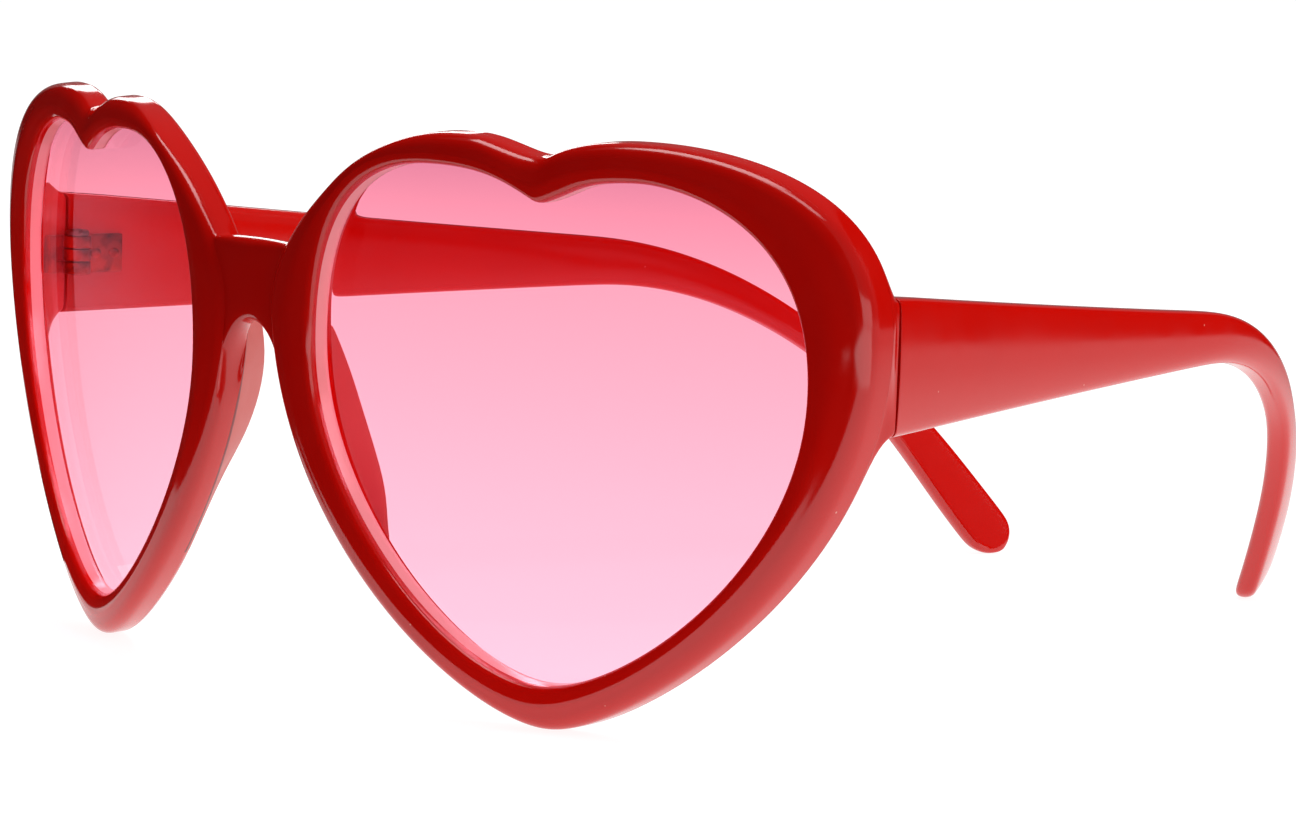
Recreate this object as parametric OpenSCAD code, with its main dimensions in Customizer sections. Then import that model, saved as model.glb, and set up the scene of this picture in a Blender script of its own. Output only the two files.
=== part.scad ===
// Heart shaped sunglasses: a bowed plastic front with moulded nose pads, two tinted
// lenses in back rabbets, and two arms on three-knuckle metal hinges.
// The wearer's left is +X and the arms run back along +Y. The part stands on z = 0 on the
// two heart tips and the two ear hooks, with x = 0 and y = 0 in the middle of its outer box.

/* [Lens opening] */
// Width of a heart opening
opening_w = 54.4; // [44:0.1:60]
// Height of a heart opening
opening_h = 54.9; // [44:0.1:62]
// Distance from the middle of the glasses to the nose side of a heart rim
rim_to_middle = 3.4; // [2.6:0.1:8]

/* [Heart rim] */
// Width of the rim at the nose side
rim_nose = 6.2; // [4:0.1:9]
// Width of the rim at the temple side
rim_outer = 6.4; // [5.2:0.1:10]
// Height of the rim above the opening
rim_top = 3.4; // [2.8:0.1:6]
// Height of the rim below the opening
rim_bottom = 4.9; // [3.4:0.1:8]
// Front to back depth of the rim
rim_depth = 5; // [4.2:0.1:7]
// How far the outer edges of the front sit behind its middle
bow_depth = 23.4; // [14:0.1:26]
// Lean of the front, top forward
front_tilt = 3.1; // [0:0.1:9]
// Crown of the rim's face where it is as wide as at the temple side
face_crown = 0.5; // [0.1:0.05:0.8]
// Radius of the rim's outer front edge
rim_edge_r = 1.7; // [0.8:0.1:2]
// Radius of the opening's front edge
lip_r = 1.2; // [0.5:0.1:1.3]
// Radius of the rim's outer back edge
back_edge_r = 0.7; // [0.3:0.1:0.9]

/* [Bridge] */
// Height of the bridge's top edge above the middle of the hearts
bridge_top = 19.8; // [17:0.1:22]
// Height of the bridge's underside above the middle of the hearts
bridge_underside = 10.7; // [9:0.1:13]
// Step of the bridge's back in from the rim's back
bridge_step = 1; // [1:0.1:2]
// Radius of the bridge's long edges
bridge_edge_r = 1.2; // [0.5:0.1:1.5]

/* [Nose pads] */
// How far a pad stands out behind the rim
pad_reach = 4.3; // [3:0.1:6]
// Height of a pad from end to end
pad_h = 31; // [22:0.5:33]
// Height of a pad's middle above the middle of the hearts
pad_rise = 0.5; // [-2:0.5:1]
// How far a pad's back edge leans away from the nose
pad_flare = 2.4; // [1.5:0.1:2.8]
// Thickness of a pad at its back edge
pad_edge_t = 1.9; // [1.4:0.1:2.4]

/* [Lenses] */
// Thickness of a lens
lens_t = 1.5; // [1:0.1:1.6]
// Depth of the lens face behind the rim's face
lens_setback = 3.1; // [2:0.1:3.1]
// How far a lens reaches under the rim
lens_lap = 1.2; // [0.8:0.1:1.5]
// Clearance round a lens in its rabbet
lens_gap = 0.08; // [0.05:0.01:0.15]

/* [Arms] */
// Height of an arm at the hinge
arm_front_h = 14.6; // [11:0.1:16]
// Height of an arm at its waist over the ear
arm_waist_h = 3.4; // [3:0.1:6]
// Height of an arm at its tip
arm_tip_h = 6.6; // [5.4:0.1:9]
// Thickness of an arm at the hinge
arm_front_t = 4.2; // [3.6:0.1:5]
// Thickness of an arm at its tip
arm_tip_t = 3; // [2.4:0.1:4]
// Radius of an arm's long edges
arm_edge_r = 1; // [0.5:0.1:1.2]
// Length of an arm's straight run
arm_straight_l = 74.7; // [66:0.1:86]
// Bend radius over the ear
ear_bend_r = 58.2; // [48:0.1:70]
// Downward angle of the ear hook
ear_bend_angle = 57.6; // [50:0.1:62]
// Inward sweep of the hook at its tip
hook_in = 15.6; // [8:0.1:18]
// Turn of each open arm towards the other
toe_in = 13.2; // [9:0.1:17]
// Downward slope of the straight run
arm_slope = 2; // [0:0.1:4]
// Height of an arm's middle at the hinge above the middle of the hearts
arm_rise = 11.2; // [9:0.1:13]

/* [Hinges] */
// Height of the three knuckles together
knuckle_stack_h = 4.6; // [4.4:0.1:7]
// Outer radius of a knuckle
knuckle_r = 1.6; // [1.4:0.05:2]
// Radius of the screw's shank
screw_r = 0.75; // [0.5:0.05:0.9]
// Radial running clearance of the screw in the knuckles
screw_gap = 0.05; // [0.02:0.01:0.08]
// Gap between knuckles
knuckle_gap = 0.1; // [0.05:0.01:0.2]
// Radius of the screw's head
screw_head_r = 1.35; // [1.1:0.05:1.5]
// Height of the screw's head
screw_head_h = 0.8; // [0.5:0.1:1.2]
// Clearance between a knuckle and the plastic beside it
knuckle_to_plastic = 0.2; // [0.15:0.05:0.4]
// Thickness of a hinge leaf
leaf_t = 1.1; // [0.9:0.1:1.4]
// Depth that a leaf is let into the plastic
leaf_sink = 0.4; // [0.2:0.05:0.5]
// Length of the leaf on an arm
arm_leaf_l = 4.4; // [4:0.1:8]
// Length of the leaf on the front, along the end block
front_leaf_l = 1.4; // [1:0.1:1.5]
// Side of a leaf's square anchor peg
anchor_w = 1.1; // [0.8:0.1:1.3]
// Length of an anchor peg in the plastic
anchor_l = 1.8; // [1.2:0.1:2.2]
// Clearance round a leaf and its pegs in the plastic
leaf_gap = 0.05; // [0.03:0.01:0.1]
// Gap between an end block and the arm that closes on it
joint_gap = 0.3; // [0.2:0.05:0.5]
// Least length of the end block behind the rim
end_block_l = 1.4; // [0.8:0.1:3]

/* [Hidden] */
$fn = 48;

frame_red = [0.72, 0.03, 0.02];
arm_red = [0.78, 0.05, 0.04];
lens_pink = [1, 0.62, 0.74, 0.55];
nickel = [0.62, 0.58, 0.54];

// Steps along each curve of a heart, a round edge, the bow, the bridge, a back edge and an arm
curve_steps = 12;
edge_steps = 3;
bow_steps = 24;
bridge_steps = 6;
bridge_stations = 5;
back_steps = 4;
straight_steps = 9;
bend_steps = 14;
tail_steps = 3;
tip_steps = 5;
// One overrun for every cut and every sunk joint
overrun = 0.5;
// Plastic left between a rabbet and what grows out of the rim behind it
rabbet_wall = 0.3;
// How full a pad stays towards its top and towards its foot
pad_top_power = 4;
pad_foot_power = 1.7;
// How fast a pad leans over and rounds off as it grows from its ends
lean_speed = 1.5;
round_speed = 4;
// Step of the bridge's face back from the rims' faces
bridge_setback = 0.6;
// Step of the arm's outer face in from the rim's widest place
arm_step_in = 1.1;
// Width of the slot in a screw's head
slot_w = 0.5;
// How an arm thins towards its waist, and where the waist lies along the ear bend
taper_power = 1.25;
waist_share = 0.67;
// Largest share of an arm's section that its round edges take, and what is left flat at its tip
edge_share = 0.48;
tip_flat_share = 0.03;

// Shape of the opening: corner places as shares of its box, in the order notch,
// nose-side lobe, nose side, tip, outer lobe, outer side
opening_place_share = [[0.5, 0.933], [0.268, 1], [0, 0.614], [0.496, 0], [0.684, 0.98], [1, 0.616]];
opening_handle_share = [0.25, 0.57, 0.54, 0.43, 0.83, 0.47, 0.34, 0.55, 0.88, 0.2, 0.61, 0.41, 0.56];
// Shape of the rim's outside, the same way
rim_place_share = [[0.497, 0.96], [0.33, 1], [0, 0.687], [0.501, 0], [0.625, 0.995], [1, 0.696]];
rim_handle_share = [0.61, 0.95, 0.46, 0.38, 0.4, 0.56, 0.24, 0.59, 0.8, 0.4, 0.48, 0.16, 0.57];
// Height of the middle of the hearts within the opening
middle_share = 0.4645;
// Share of the bow that flattens out towards the temples
bow_share = 0.63;

knuckle_h = (knuckle_stack_h - 2 * knuckle_gap) / 3;
half_w = rim_to_middle + rim_nose + opening_w + rim_outer;
opening_low = -opening_h * middle_share;
rim_low = opening_low - rim_bottom;
rim_h = rim_bottom + opening_h + rim_top;
rim_w = rim_nose + opening_w + rim_outer;
tip_x = rim_to_middle + rim_w * rim_place_share[3][0];

// Bow of the front: depth of the rim's face at a distance from the middle
function bow_y(x) = let (u = abs(x) / half_w) bow_depth * u * u * (1 + bow_share - bow_share * u);
// The rim's lowest edge stands on the table
front_lift = -rim_low * cos(front_tilt) - (bow_y(tip_x) + rim_edge_r) * sin(front_tilt);
// A place on the leaning front, brought into the glasses' own frame
function leaned(p) = [
    p[0],
    p[1] * cos(front_tilt) - p[2] * sin(front_tilt) + front_y,
    p[1] * sin(front_tilt) + p[2] * cos(front_tilt) + front_lift
];

// Hinge pin: its place follows from the arm's outer face and from the end block behind the rim
leaf_face = knuckle_r + knuckle_to_plastic;
arm_out_x = half_w - arm_step_in;
pin_x = arm_out_x - (leaf_face + arm_front_t) / cos(toe_in);
pin_z = front_lift + arm_rise;
// Distance of the pin behind the middle of the bridge
pin_back = (bow_y(arm_out_x) + rim_depth) * cos(front_tilt) - arm_rise * sin(front_tilt) + end_block_l;

// Points of one cubic curve, without its last end
function curve_points(a, b, c, d, n) = [
    for (i = [0 : n - 1])
        let (t = i / n, s = 1 - t)
            s * s * s * a + 3 * s * s * t * b + 3 * s * t * t * c + t * t * t * d
];
// Heart outline inside a box, from the notch over the nose-side lobe and back
function heart_points(x0, z0, w, h, place_share, k_share) =
    let (
        p = [for (q = place_share) [x0 + w * q[0], z0 + h * q[1]]],
        n = p[0], t = p[1], s = p[2], b = p[3], u = p[4], v = p[5], k = k_share
    )
    concat(
        curve_points(n, n + [-(n[0] - t[0]) * k[0], (t[1] - n[1]) * k[1]],
            t + [(n[0] - t[0]) * k[2], 0], t, curve_steps),
        curve_points(t, t - [(t[0] - s[0]) * k[3], 0], s + [0, (t[1] - s[1]) * k[4]], s, curve_steps),
        curve_points(s, s - [0, (s[1] - b[1]) * k[5]], b - [(b[0] - s[0]) * k[6], 0], b, curve_steps),
        curve_points(b, b + [(v[0] - b[0]) * k[6], 0], v - [0, (v[1] - b[1]) * k[7]], v, curve_steps),
        curve_points(v, v + [0, (u[1] - v[1]) * k[8]], u + [(v[0] - u[0]) * k[9], 0], u, curve_steps),
        curve_points(u, u - [(u[0] - n[0]) * k[10], 0],
            n + [(u[0] - n[0]) * k[11], (u[1] - n[1]) * k[12]], n, curve_steps)
    );

opening_line = heart_points(rim_to_middle + rim_nose, opening_low, opening_w, opening_h,
    opening_place_share, opening_handle_share);
rim_line = heart_points(rim_to_middle, rim_low, rim_w, rim_h, rim_place_share, rim_handle_share);

// Direction from the opening out across the rim at each step
out_dir = [
    for (i = [0 : len(rim_line) - 1])
        (rim_line[i] - opening_line[i]) / norm(rim_line[i] - opening_line[i])
];
// Edge of a lens in its rabbet
lens_line = [for (i = [0 : len(rim_line) - 1]) opening_line[i] + out_dir[i] * (lens_lap - lens_gap)];
// A round edge as points on a quarter circle
function edge_arc(centre, r, from_angle) = [
    for (i = [0 : edge_steps])
        centre + r * [cos(from_angle + 90 * i / edge_steps), sin(from_angle + 90 * i / edge_steps)]
];
// A bar's section, t thick and h high, with round edges
function rounded_bar(t, h, r) = concat(
    edge_arc([t / 2 - r, h / 2 - r], r, 0),
    edge_arc([r - t / 2, h / 2 - r], r, 90),
    edge_arc([r - t / 2, r - h / 2], r, 180),
    edge_arc([t / 2 - r, r - h / 2], r, 270)
);

// Rim section across a width w: distance out from the opening, depth behind the face.
// Where a pad grows, to the share f of its reach, the outer back edge rises and leans inwards.
function rim_section(w, f) =
    let (
        edge = min(rim_edge_r, w - lip_r - lens_gap),
        flat = w - lip_r - edge,
        r = back_edge_r + (pad_edge_t / 2 - back_edge_r) * f,
        lean = pad_flare * sin(90 * min(1, lean_speed * f)),
        sweep = 90 * (1 + min(1, round_speed * f)),
        centre = [w - r - lean, rim_depth - r + pad_reach * f]
    )
    concat(
        edge_arc([lip_r, lip_r], lip_r, 180),
        [[lip_r + flat / 2, -face_crown * flat / rim_outer]],
        edge_arc([w - edge, edge], edge, 270),
        [[w, rim_depth - bridge_step]],
        [for (i = [0 : back_steps]) centre + r * [cos(sweep * i / back_steps), sin(sweep * i / back_steps)]],
        [[lens_lap + rabbet_wall, rim_depth], [lens_lap, rim_depth]],
        [[lens_lap, lens_setback], [0, lens_setback]]
    );
// Places in the section: start of the outer front edge, the outer wall's end, and the back's two ends
front_j = edge_steps + 2;
wall_j = front_j + edge_steps + 1;
back_j = wall_j + 2;
foot_j = back_j + back_steps;
section_n = foot_j + 4;
// Share of a pad's reach at a station: it grows down the nose side only, full above and slender below
function pad_share(i) =
    let (
        p = (rim_line[i][1] - pad_rise) / (pad_h / 2),
        power = p > 0 ? pad_top_power : pad_foot_power
    )
    i > curve_steps && i < 3 * curve_steps ? max(0, 1 - pow(abs(p), power)) : 0;

// Length of the ear bend, and of the tail that brings the tip down to the table
bend_l = ear_bend_r * (ear_bend_angle - arm_slope) * PI / 180;
bend_end_z = pin_z - arm_straight_l * sin(arm_slope) - ear_bend_r * (cos(arm_slope) - cos(ear_bend_angle));
tail_l = (bend_end_z - arm_tip_h / 2) / sin(ear_bend_angle);
arm_l = arm_straight_l + bend_l + tail_l;
waist_s = arm_straight_l + bend_l * waist_share;
// Distance of the hook's rearmost point behind the bridge, and the place that centres the whole
tip_v = leaf_face + (arm_front_t + arm_tip_t) / 2 - hook_in;
tip_back = pin_back + tip_v * sin(toe_in) + (arm_path(arm_l)[0] + arm_tip_h / 2) * cos(toe_in);
front_y = (bridge_top * sin(front_tilt) - tip_back) / 2;
pin_y = pin_back + front_y;

// Middle line of an arm at a length s: distance back, height, downward angle
function arm_path(s) =
    s <= arm_straight_l
    ? [s * cos(arm_slope), pin_z - s * sin(arm_slope), arm_slope]
    : let (
        a = min(ear_bend_angle, arm_slope + (s - arm_straight_l) / ear_bend_r * 180 / PI),
        rest = max(0, s - arm_straight_l - bend_l)
    )
    [
        arm_straight_l * cos(arm_slope) + ear_bend_r * (sin(a) - sin(arm_slope)) + rest * cos(a),
        pin_z - arm_straight_l * sin(arm_slope) - ear_bend_r * (cos(arm_slope) - cos(a)) - rest * sin(a),
        a
    ];
// Height of the arm's section at a length s
function arm_h(s) =
    s < waist_s
    ? arm_waist_h + (arm_front_h - arm_waist_h) * pow(1 - s / waist_s, taper_power)
    : arm_waist_h + (arm_tip_h - arm_waist_h) * sin(90 * min(1, (s - waist_s) / (arm_l - waist_s)));
// Ring of the arm's section at a length s, in the glasses' own frame. The first ring lies in
// the joint's own plane, a named distance from the pin.
function arm_ring(s, face_y) =
    let (
        past = max(0, s - arm_l) / (arm_tip_h / 2),
        shrink = sqrt(max(tip_flat_share, 1 - past * past)),
        t = (arm_front_t + (arm_tip_t - arm_front_t) * min(1, s / arm_l)) * (past > 0 ? sqrt(shrink) : 1),
        h = arm_h(s) * shrink,
        path = arm_path(s),
        swept = max(0, s - arm_straight_l) / (arm_l - arm_straight_l),
        v_mid = leaf_face + arm_front_t / 2 - hook_in * swept * swept
    )
    [
        for (e = rounded_bar(t, h, min(arm_edge_r, t * edge_share, h * edge_share)))
            let (
                v = v_mid + e[0],
                u = s == 0 ? (face_y - v * sin(toe_in)) / cos(toe_in) : path[0] + e[1] * sin(path[2]),
                z = path[1] + e[1] * (s == 0 ? 1 : cos(path[2]))
            )
            [pin_x + v * cos(toe_in) - u * sin(toe_in), pin_y + v * sin(toe_in) + u * cos(toe_in), z]
    ];
arm_stations = concat(
    [for (i = [0 : straight_steps - 1]) arm_straight_l * i / straight_steps],
    [for (i = [0 : bend_steps - 1]) arm_straight_l + bend_l * i / bend_steps],
    [for (i = [0 : tail_steps]) arm_straight_l + bend_l + tail_l * i / tail_steps],
    [for (i = [1 : tip_steps]) arm_l + arm_tip_h / 2 * sin(90 * i / tip_steps)]
);

// Skin between two loops of as many points, given by their numbers
function skin(a, b) = [
    for (i = [0 : len(a) - 1], second = [0, 1])
        let (k = (i + 1) % len(a))
        second == 0 ? [a[i], a[k], b[k]] : [a[i], b[k], b[i]]
];
// The same faces, turned to look the other way
function turned_over(faces) = [for (f = faces) [for (k = [len(f) - 1 : -1 : 0]) f[k]]];
// Numbers of the m points of one ring
function ring(i, m) = [for (j = [0 : m - 1]) i * m + j];
// Numbers of the points round a patch of the rim, from station i0 to i1 and place j0 to j1
function patch_loop(i0, i1, j0, j1) = concat(
    [for (j = [j0 : j1 - 1]) i0 * section_n + j],
    [for (i = [i0 : i1 - 1]) i * section_n + j1],
    [for (j = [j1 : -1 : j0 + 1]) i1 * section_n + j],
    [for (i = [i1 : -1 : i0 + 1]) i * section_n + j0]
);
// Distance of place k of n along a side whose corners are rounded
function along(k, n, side, r) =
    k == 0 ? r * (1 - cos(45)) : k == n ? side - r * (1 - cos(45)) : r + (side - 2 * r) * (k - 1) / (n - 2);

// Stations that the bridge grows from, and those that the end block grows from
bridge_i0 = max([
    for (i = [curve_steps : 2 * curve_steps]) rim_line[i][1] > bridge_top ? i + 1 : curve_steps
]);
bridge_i1 = bridge_i0 + bridge_stations;
block_i0 = 4 * curve_steps - 2;
block_i1 = block_i0 + edge_steps + 1;
bridge_loop = patch_loop(bridge_i0, bridge_i1, front_j, wall_j);
block_loop = patch_loop(block_i0, block_i1, back_j, foot_j);

rim_points = [
    for (i = [0 : len(rim_line) - 1], q = rim_section(norm(rim_line[i] - opening_line[i]), pad_share(i)))
        let (at = opening_line[i] + out_dir[i] * q[0])
        [at[0], bow_y(at[0]) + q[1], at[1]]
];
// Bridge's section in the middle, point for point with the loop that it grows from
bridge_d = rim_depth - bridge_step - bridge_setback;
bridge_h = bridge_top - bridge_underside;
bridge_middle =
    let (n = wall_j - front_j, m = bridge_stations, d = bridge_d, h = bridge_h, r = bridge_edge_r)
    [
        for (q = concat(
            [for (k = [0 : n - 1]) [along(k, n, d, r), k == 0 ? along(0, m, h, r) : 0]],
            [for (k = [0 : m - 1]) [k == 0 ? along(n, n, d, r) : d, along(k, m, h, r)]],
            [for (k = [n : -1 : 1]) [along(k, n, d, r), k == n ? along(m, m, h, r) : h]],
            [for (k = [m : -1 : 1]) [k == m ? along(0, n, d, r) : 0, along(k, m, h, r)]]
        )) [0, bridge_setback + q[0], bridge_top - q[1]]
    ];
// The bridge's rings run from the rim to the middle: each point follows a quarter of an ellipse
bridge_rings = [
    for (i = [1 : bridge_steps], k = [0 : len(bridge_loop) - 1])
        let (
            a = 90 * (1 - i / bridge_steps),
            from = rim_points[bridge_loop[k]],
            to = bridge_middle[k]
        )
        [from[0] * sin(a), to[1] + (from[1] - to[1]) * (1 - cos(a)), to[2] + (from[2] - to[2]) * (1 - cos(a))]
];

// Left-hand pieces are drawn at +X, and the right-hand ones are their mirror images
module both_sides() {
    children();
    mirror([1, 0, 0]) children();
}

// Half of the front, to the middle of the bridge: the rim is a ring of sections, the bridge
// grows out of its nose side and the end block out of its back
module half_front() {
    stations = len(rim_line);
    side = [
        for (i = [0 : stations - 1], f = skin(ring(i, section_n), ring((i + 1) % stations, section_n))) f
    ];
    bridge_cells = [for (i = [bridge_i0 : bridge_i1 - 1], j = [front_j : wall_j - 1]) i * section_n + j];
    block_cells = [for (i = [block_i0 : block_i1 - 1], j = [back_j : foot_j - 1]) i * section_n + j];
    open_cells = concat(bridge_cells, block_cells);
    rim = [for (k = [0 : len(side) - 1]) if (len(search(floor(k / 2), open_cells)) == 0) side[k]];
    block_face = arm_ring(0, -joint_gap / 2);
    n = len(block_loop);
    turned = [for (k = [0 : n - 1]) block_face[(2 * n - edge_steps + 1 - k) % n]];
    base = stations * section_n;
    loops = [for (i = [0 : bridge_steps - 1]) [for (q = ring(i, len(bridge_loop))) base + q]];
    block_ring = [for (k = [0 : n - 1]) base + len(bridge_rings) + k];
    polyhedron(
        concat([for (q = rim_points) leaned(q)], [for (q = bridge_rings) leaned(q)], turned),
        turned_over(concat(
            rim,
            skin(bridge_loop, loops[0]),
            [for (i = [0 : bridge_steps - 2], f = skin(loops[i], loops[i + 1])) f],
            [loops[bridge_steps - 1]],
            skin(block_loop, block_ring),
            [block_ring]
        ))
    );
}

// Arm: straight run, ear bend and tail, swept as a rounded bar
module arm() {
    rings = [for (s = arm_stations) arm_ring(s, joint_gap / 2)];
    m = len(rings[0]);
    faces = [for (i = [0 : len(rings) - 2], f = skin(ring(i, m), ring(i + 1, m))) f];
    polyhedron(
        [for (r = rings, q = r) q],
        concat(faces, [[for (j = [m - 1 : -1 : 0]) j], [for (j = ring(len(rings) - 1, m)) j]])
    );
}

// Lens blank: the heart outline cut from a sheet bent to the front's bow
module lens() {
    face = [
        for (i = [0 : bow_steps])
            let (x = half_w * i / bow_steps)
            [x, bow_y(x) + lens_setback + lens_gap]
    ];
    back = [for (i = [bow_steps : -1 : 0]) face[i] + [0, lens_t]];
    color(lens_pink)
        translate([0, front_y, front_lift])
            rotate([front_tilt, 0, 0])
                intersection() {
                    rotate([90, 0, 0])
                        translate([0, 0, -half_w])
                            linear_extrude(height = 2 * half_w)
                                polygon(lens_line);
                    translate([0, 0, rim_low])
                        linear_extrude(height = rim_h)
                            polygon(concat(face, back));
                }
}

// Turn into the open arm's own directions about the hinge pin
module at_pin(turn) {
    translate([pin_x, pin_y, pin_z]) rotate([0, 0, turn]) children();
}

// Leaf plate beside the pin, running along +Y from the knuckles, with its anchor pegs
module leaf_plate(length, pegs, fit) {
    wall_x = leaf_face + leaf_sink;
    translate([wall_x - leaf_t - fit, leaf_face - fit, -knuckle_stack_h / 2 - fit])
        cube([leaf_t + 2 * fit, length + 2 * fit, knuckle_stack_h + 2 * fit]);
    for (i = [0 : pegs - 1])
        translate([wall_x - leaf_sink, leaf_face + length * (2 * i + 1) / (2 * pegs), 0])
            translate([0, -anchor_w / 2 - fit, -anchor_w / 2 - fit])
                cube([leaf_sink + anchor_l + fit, anchor_w + 2 * fit, anchor_w + 2 * fit]);
}

// One knuckle with the tongue that joins it to its leaf
module knuckle(level) {
    translate([0, 0, (level - 1) * (knuckle_h + knuckle_gap) - knuckle_h / 2])
        difference() {
            union() {
                cylinder(r = knuckle_r, h = knuckle_h);
                translate([leaf_face + leaf_sink - leaf_t, 0, 0])
                    cube([leaf_t - leaf_sink - knuckle_to_plastic, leaf_face + overrun, knuckle_h]);
            }
            translate([0, 0, -overrun]) cylinder(r = screw_r + screw_gap, h = knuckle_h + 2 * overrun);
        }
}

module front_leaf() {
    color(nickel)
        at_pin(0)
            mirror([0, 1, 0]) {
                leaf_plate(front_leaf_l, 1, 0);
                knuckle(0);
                knuckle(2);
            }
}

module arm_leaf() {
    color(nickel)
        at_pin(toe_in) {
            leaf_plate(arm_leaf_l, 2, 0);
            knuckle(1);
        }
}

module hinge_screw() {
    color(nickel)
        translate([pin_x, pin_y, pin_z])
            difference() {
                union() {
                    translate([0, 0, -knuckle_stack_h / 2])
                        cylinder(r = screw_r, h = knuckle_stack_h + overrun);
                    translate([0, 0, knuckle_stack_h / 2]) cylinder(r = screw_head_r, h = screw_head_h);
                }
                translate([-screw_head_r, -slot_w / 2, knuckle_stack_h / 2 + screw_head_h / 2])
                    cube([2 * screw_head_r, slot_w, screw_head_h]);
            }
}

module front_frame() {
    color(frame_red)
        both_sides()
            difference() {
                half_front();
                at_pin(0) mirror([0, 1, 0]) leaf_plate(front_leaf_l, 1, leaf_gap);
            }
}

module temple() {
    color(arm_red)
        difference() {
            arm();
            at_pin(toe_in) leaf_plate(arm_leaf_l, 2, leaf_gap);
        }
}

module right_hand() {
    mirror([1, 0, 0]) children();
}

front_frame();
lens();  // lens_left
right_hand() lens();  // lens_right
temple();  // temple_left
right_hand() temple();  // temple_right
front_leaf();  // front_hinge_leaf_left
right_hand() front_leaf();  // front_hinge_leaf_right
arm_leaf();  // temple_hinge_leaf_left
right_hand() arm_leaf();  // temple_hinge_leaf_right
hinge_screw();  // hinge_screw_left
right_hand() hinge_screw();  // hinge_screw_right
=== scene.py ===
"""Heart shaped sunglasses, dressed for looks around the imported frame.

The wearer's left is +X, the front looks along -Y and +Z is up. Sizes in the classes are in
millimetres, and every mesh is in metres in the frame's own place.
"""

import logging
import math
from dataclasses import dataclass, field
from enum import Enum
from typing import Iterable, Sequence

import bmesh
import bpy
from mathutils import Matrix, Vector

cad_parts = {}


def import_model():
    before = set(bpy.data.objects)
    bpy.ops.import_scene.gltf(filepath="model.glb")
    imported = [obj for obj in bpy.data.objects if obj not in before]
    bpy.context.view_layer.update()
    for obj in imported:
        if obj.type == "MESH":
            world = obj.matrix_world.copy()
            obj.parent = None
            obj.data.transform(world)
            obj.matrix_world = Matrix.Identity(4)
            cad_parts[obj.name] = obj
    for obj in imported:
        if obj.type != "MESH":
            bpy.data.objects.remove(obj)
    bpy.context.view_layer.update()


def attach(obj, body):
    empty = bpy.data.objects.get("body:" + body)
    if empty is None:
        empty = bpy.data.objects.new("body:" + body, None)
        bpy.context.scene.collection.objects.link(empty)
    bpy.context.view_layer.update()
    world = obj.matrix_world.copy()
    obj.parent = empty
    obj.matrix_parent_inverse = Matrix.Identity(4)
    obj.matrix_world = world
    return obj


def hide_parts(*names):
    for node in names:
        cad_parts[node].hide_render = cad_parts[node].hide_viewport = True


MM = 0.001
WELD = MM / 1000
LOG = logging.getLogger("sunglasses")

Pair = tuple[float, float]
Triple = tuple[float, float, float]
Piece = bpy.types.Object
Tree = bpy.types.NodeTree
Socket = bpy.types.NodeSocket


class Side(Enum):
    """A side of the wearer, with the sign of its X."""

    LEFT = 1
    RIGHT = -1

    @property
    def word(self) -> str:
        """The side's word in the names of pieces."""
        return self.name.lower()


# Plane helpers


def cubic(a: Pair, b: Pair, c: Pair, d: Pair, steps: int) -> list[Pair]:
    """Points of one cubic curve, without its last end.

    Args:
        a: Start.
        b: Handle of the start.
        c: Handle of the end.
        d: End.
        steps: Number of points.

    Returns:
        The points as pairs.
    """
    points = []
    for i in range(steps):
        t = i / steps
        s = 1 - t
        weights = (s * s * s, 3 * s * s * t, 3 * s * t * t, t * t * t)
        points.append(tuple(sum(w * q[k] for w, q in zip(weights, (a, b, c, d))) for k in (0, 1)))
    return points


def arc(centre: Pair, radius: float, start: float, sweep: float, steps: int) -> list[Pair]:
    """Points on an arc, both ends included.

    Args:
        centre: Centre of the arc.
        radius: Its radius.
        start: First angle in degrees.
        sweep: Angle that it covers in degrees.
        steps: Number of steps.

    Returns:
        The points as pairs.
    """
    angles = [math.radians(start + sweep * i / steps) for i in range(steps + 1)]
    return [(centre[0] + radius * math.cos(a), centre[1] + radius * math.sin(a)) for a in angles]


def sine(degrees: float) -> float:
    """Sine of an angle in degrees."""
    return math.sin(math.radians(degrees))


def cosine(degrees: float) -> float:
    """Cosine of an angle in degrees."""
    return math.cos(math.radians(degrees))


# Modelling by operators


def deselect_all() -> None:
    """Leaves object mode and deselects every object."""
    if bpy.context.object and bpy.context.object.mode != "OBJECT":
        bpy.ops.object.mode_set(mode="OBJECT")
    bpy.ops.object.select_all(action="DESELECT")


def pick(obj: Piece) -> None:
    """Selects one object alone and makes it the active one.

    Args:
        obj: The object.
    """
    deselect_all()
    obj.select_set(True)
    bpy.context.view_layer.objects.active = obj


def rename(obj: Piece, name: str) -> Piece:
    """Gives a piece and its mesh one name.

    Args:
        obj: The piece.
        name: Its name.

    Returns:
        The piece.
    """
    obj.name = name
    obj.data.name = name
    return obj


def apply_place() -> None:
    """Brings the place of the selected object into its mesh."""
    bpy.ops.object.transform_apply(location=True, rotation=True, scale=True)


def apply_modifier(obj: Piece, kind: str, **settings: object) -> None:
    """Adds a modifier with its settings and applies it.

    Args:
        obj: The piece.
        kind: The modifier's type.
        settings: Its properties by name.
    """
    pick(obj)
    modifier = obj.modifiers.new(kind.title(), kind)
    for name, value in settings.items():
        setattr(modifier, name, value)
    bpy.ops.object.modifier_apply(modifier=modifier.name)


def smooth(obj: Piece, degrees: float = 180.0) -> None:
    """Shades a piece smooth, apart from edges sharper than an angle in degrees.

    Args:
        obj: The piece.
        degrees: The angle, or 180 where no edge is sharp.
    """
    pick(obj)
    if degrees >= 180:
        bpy.ops.object.shade_smooth()
    else:
        bpy.ops.object.shade_smooth_by_angle(angle=math.radians(degrees))


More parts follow.
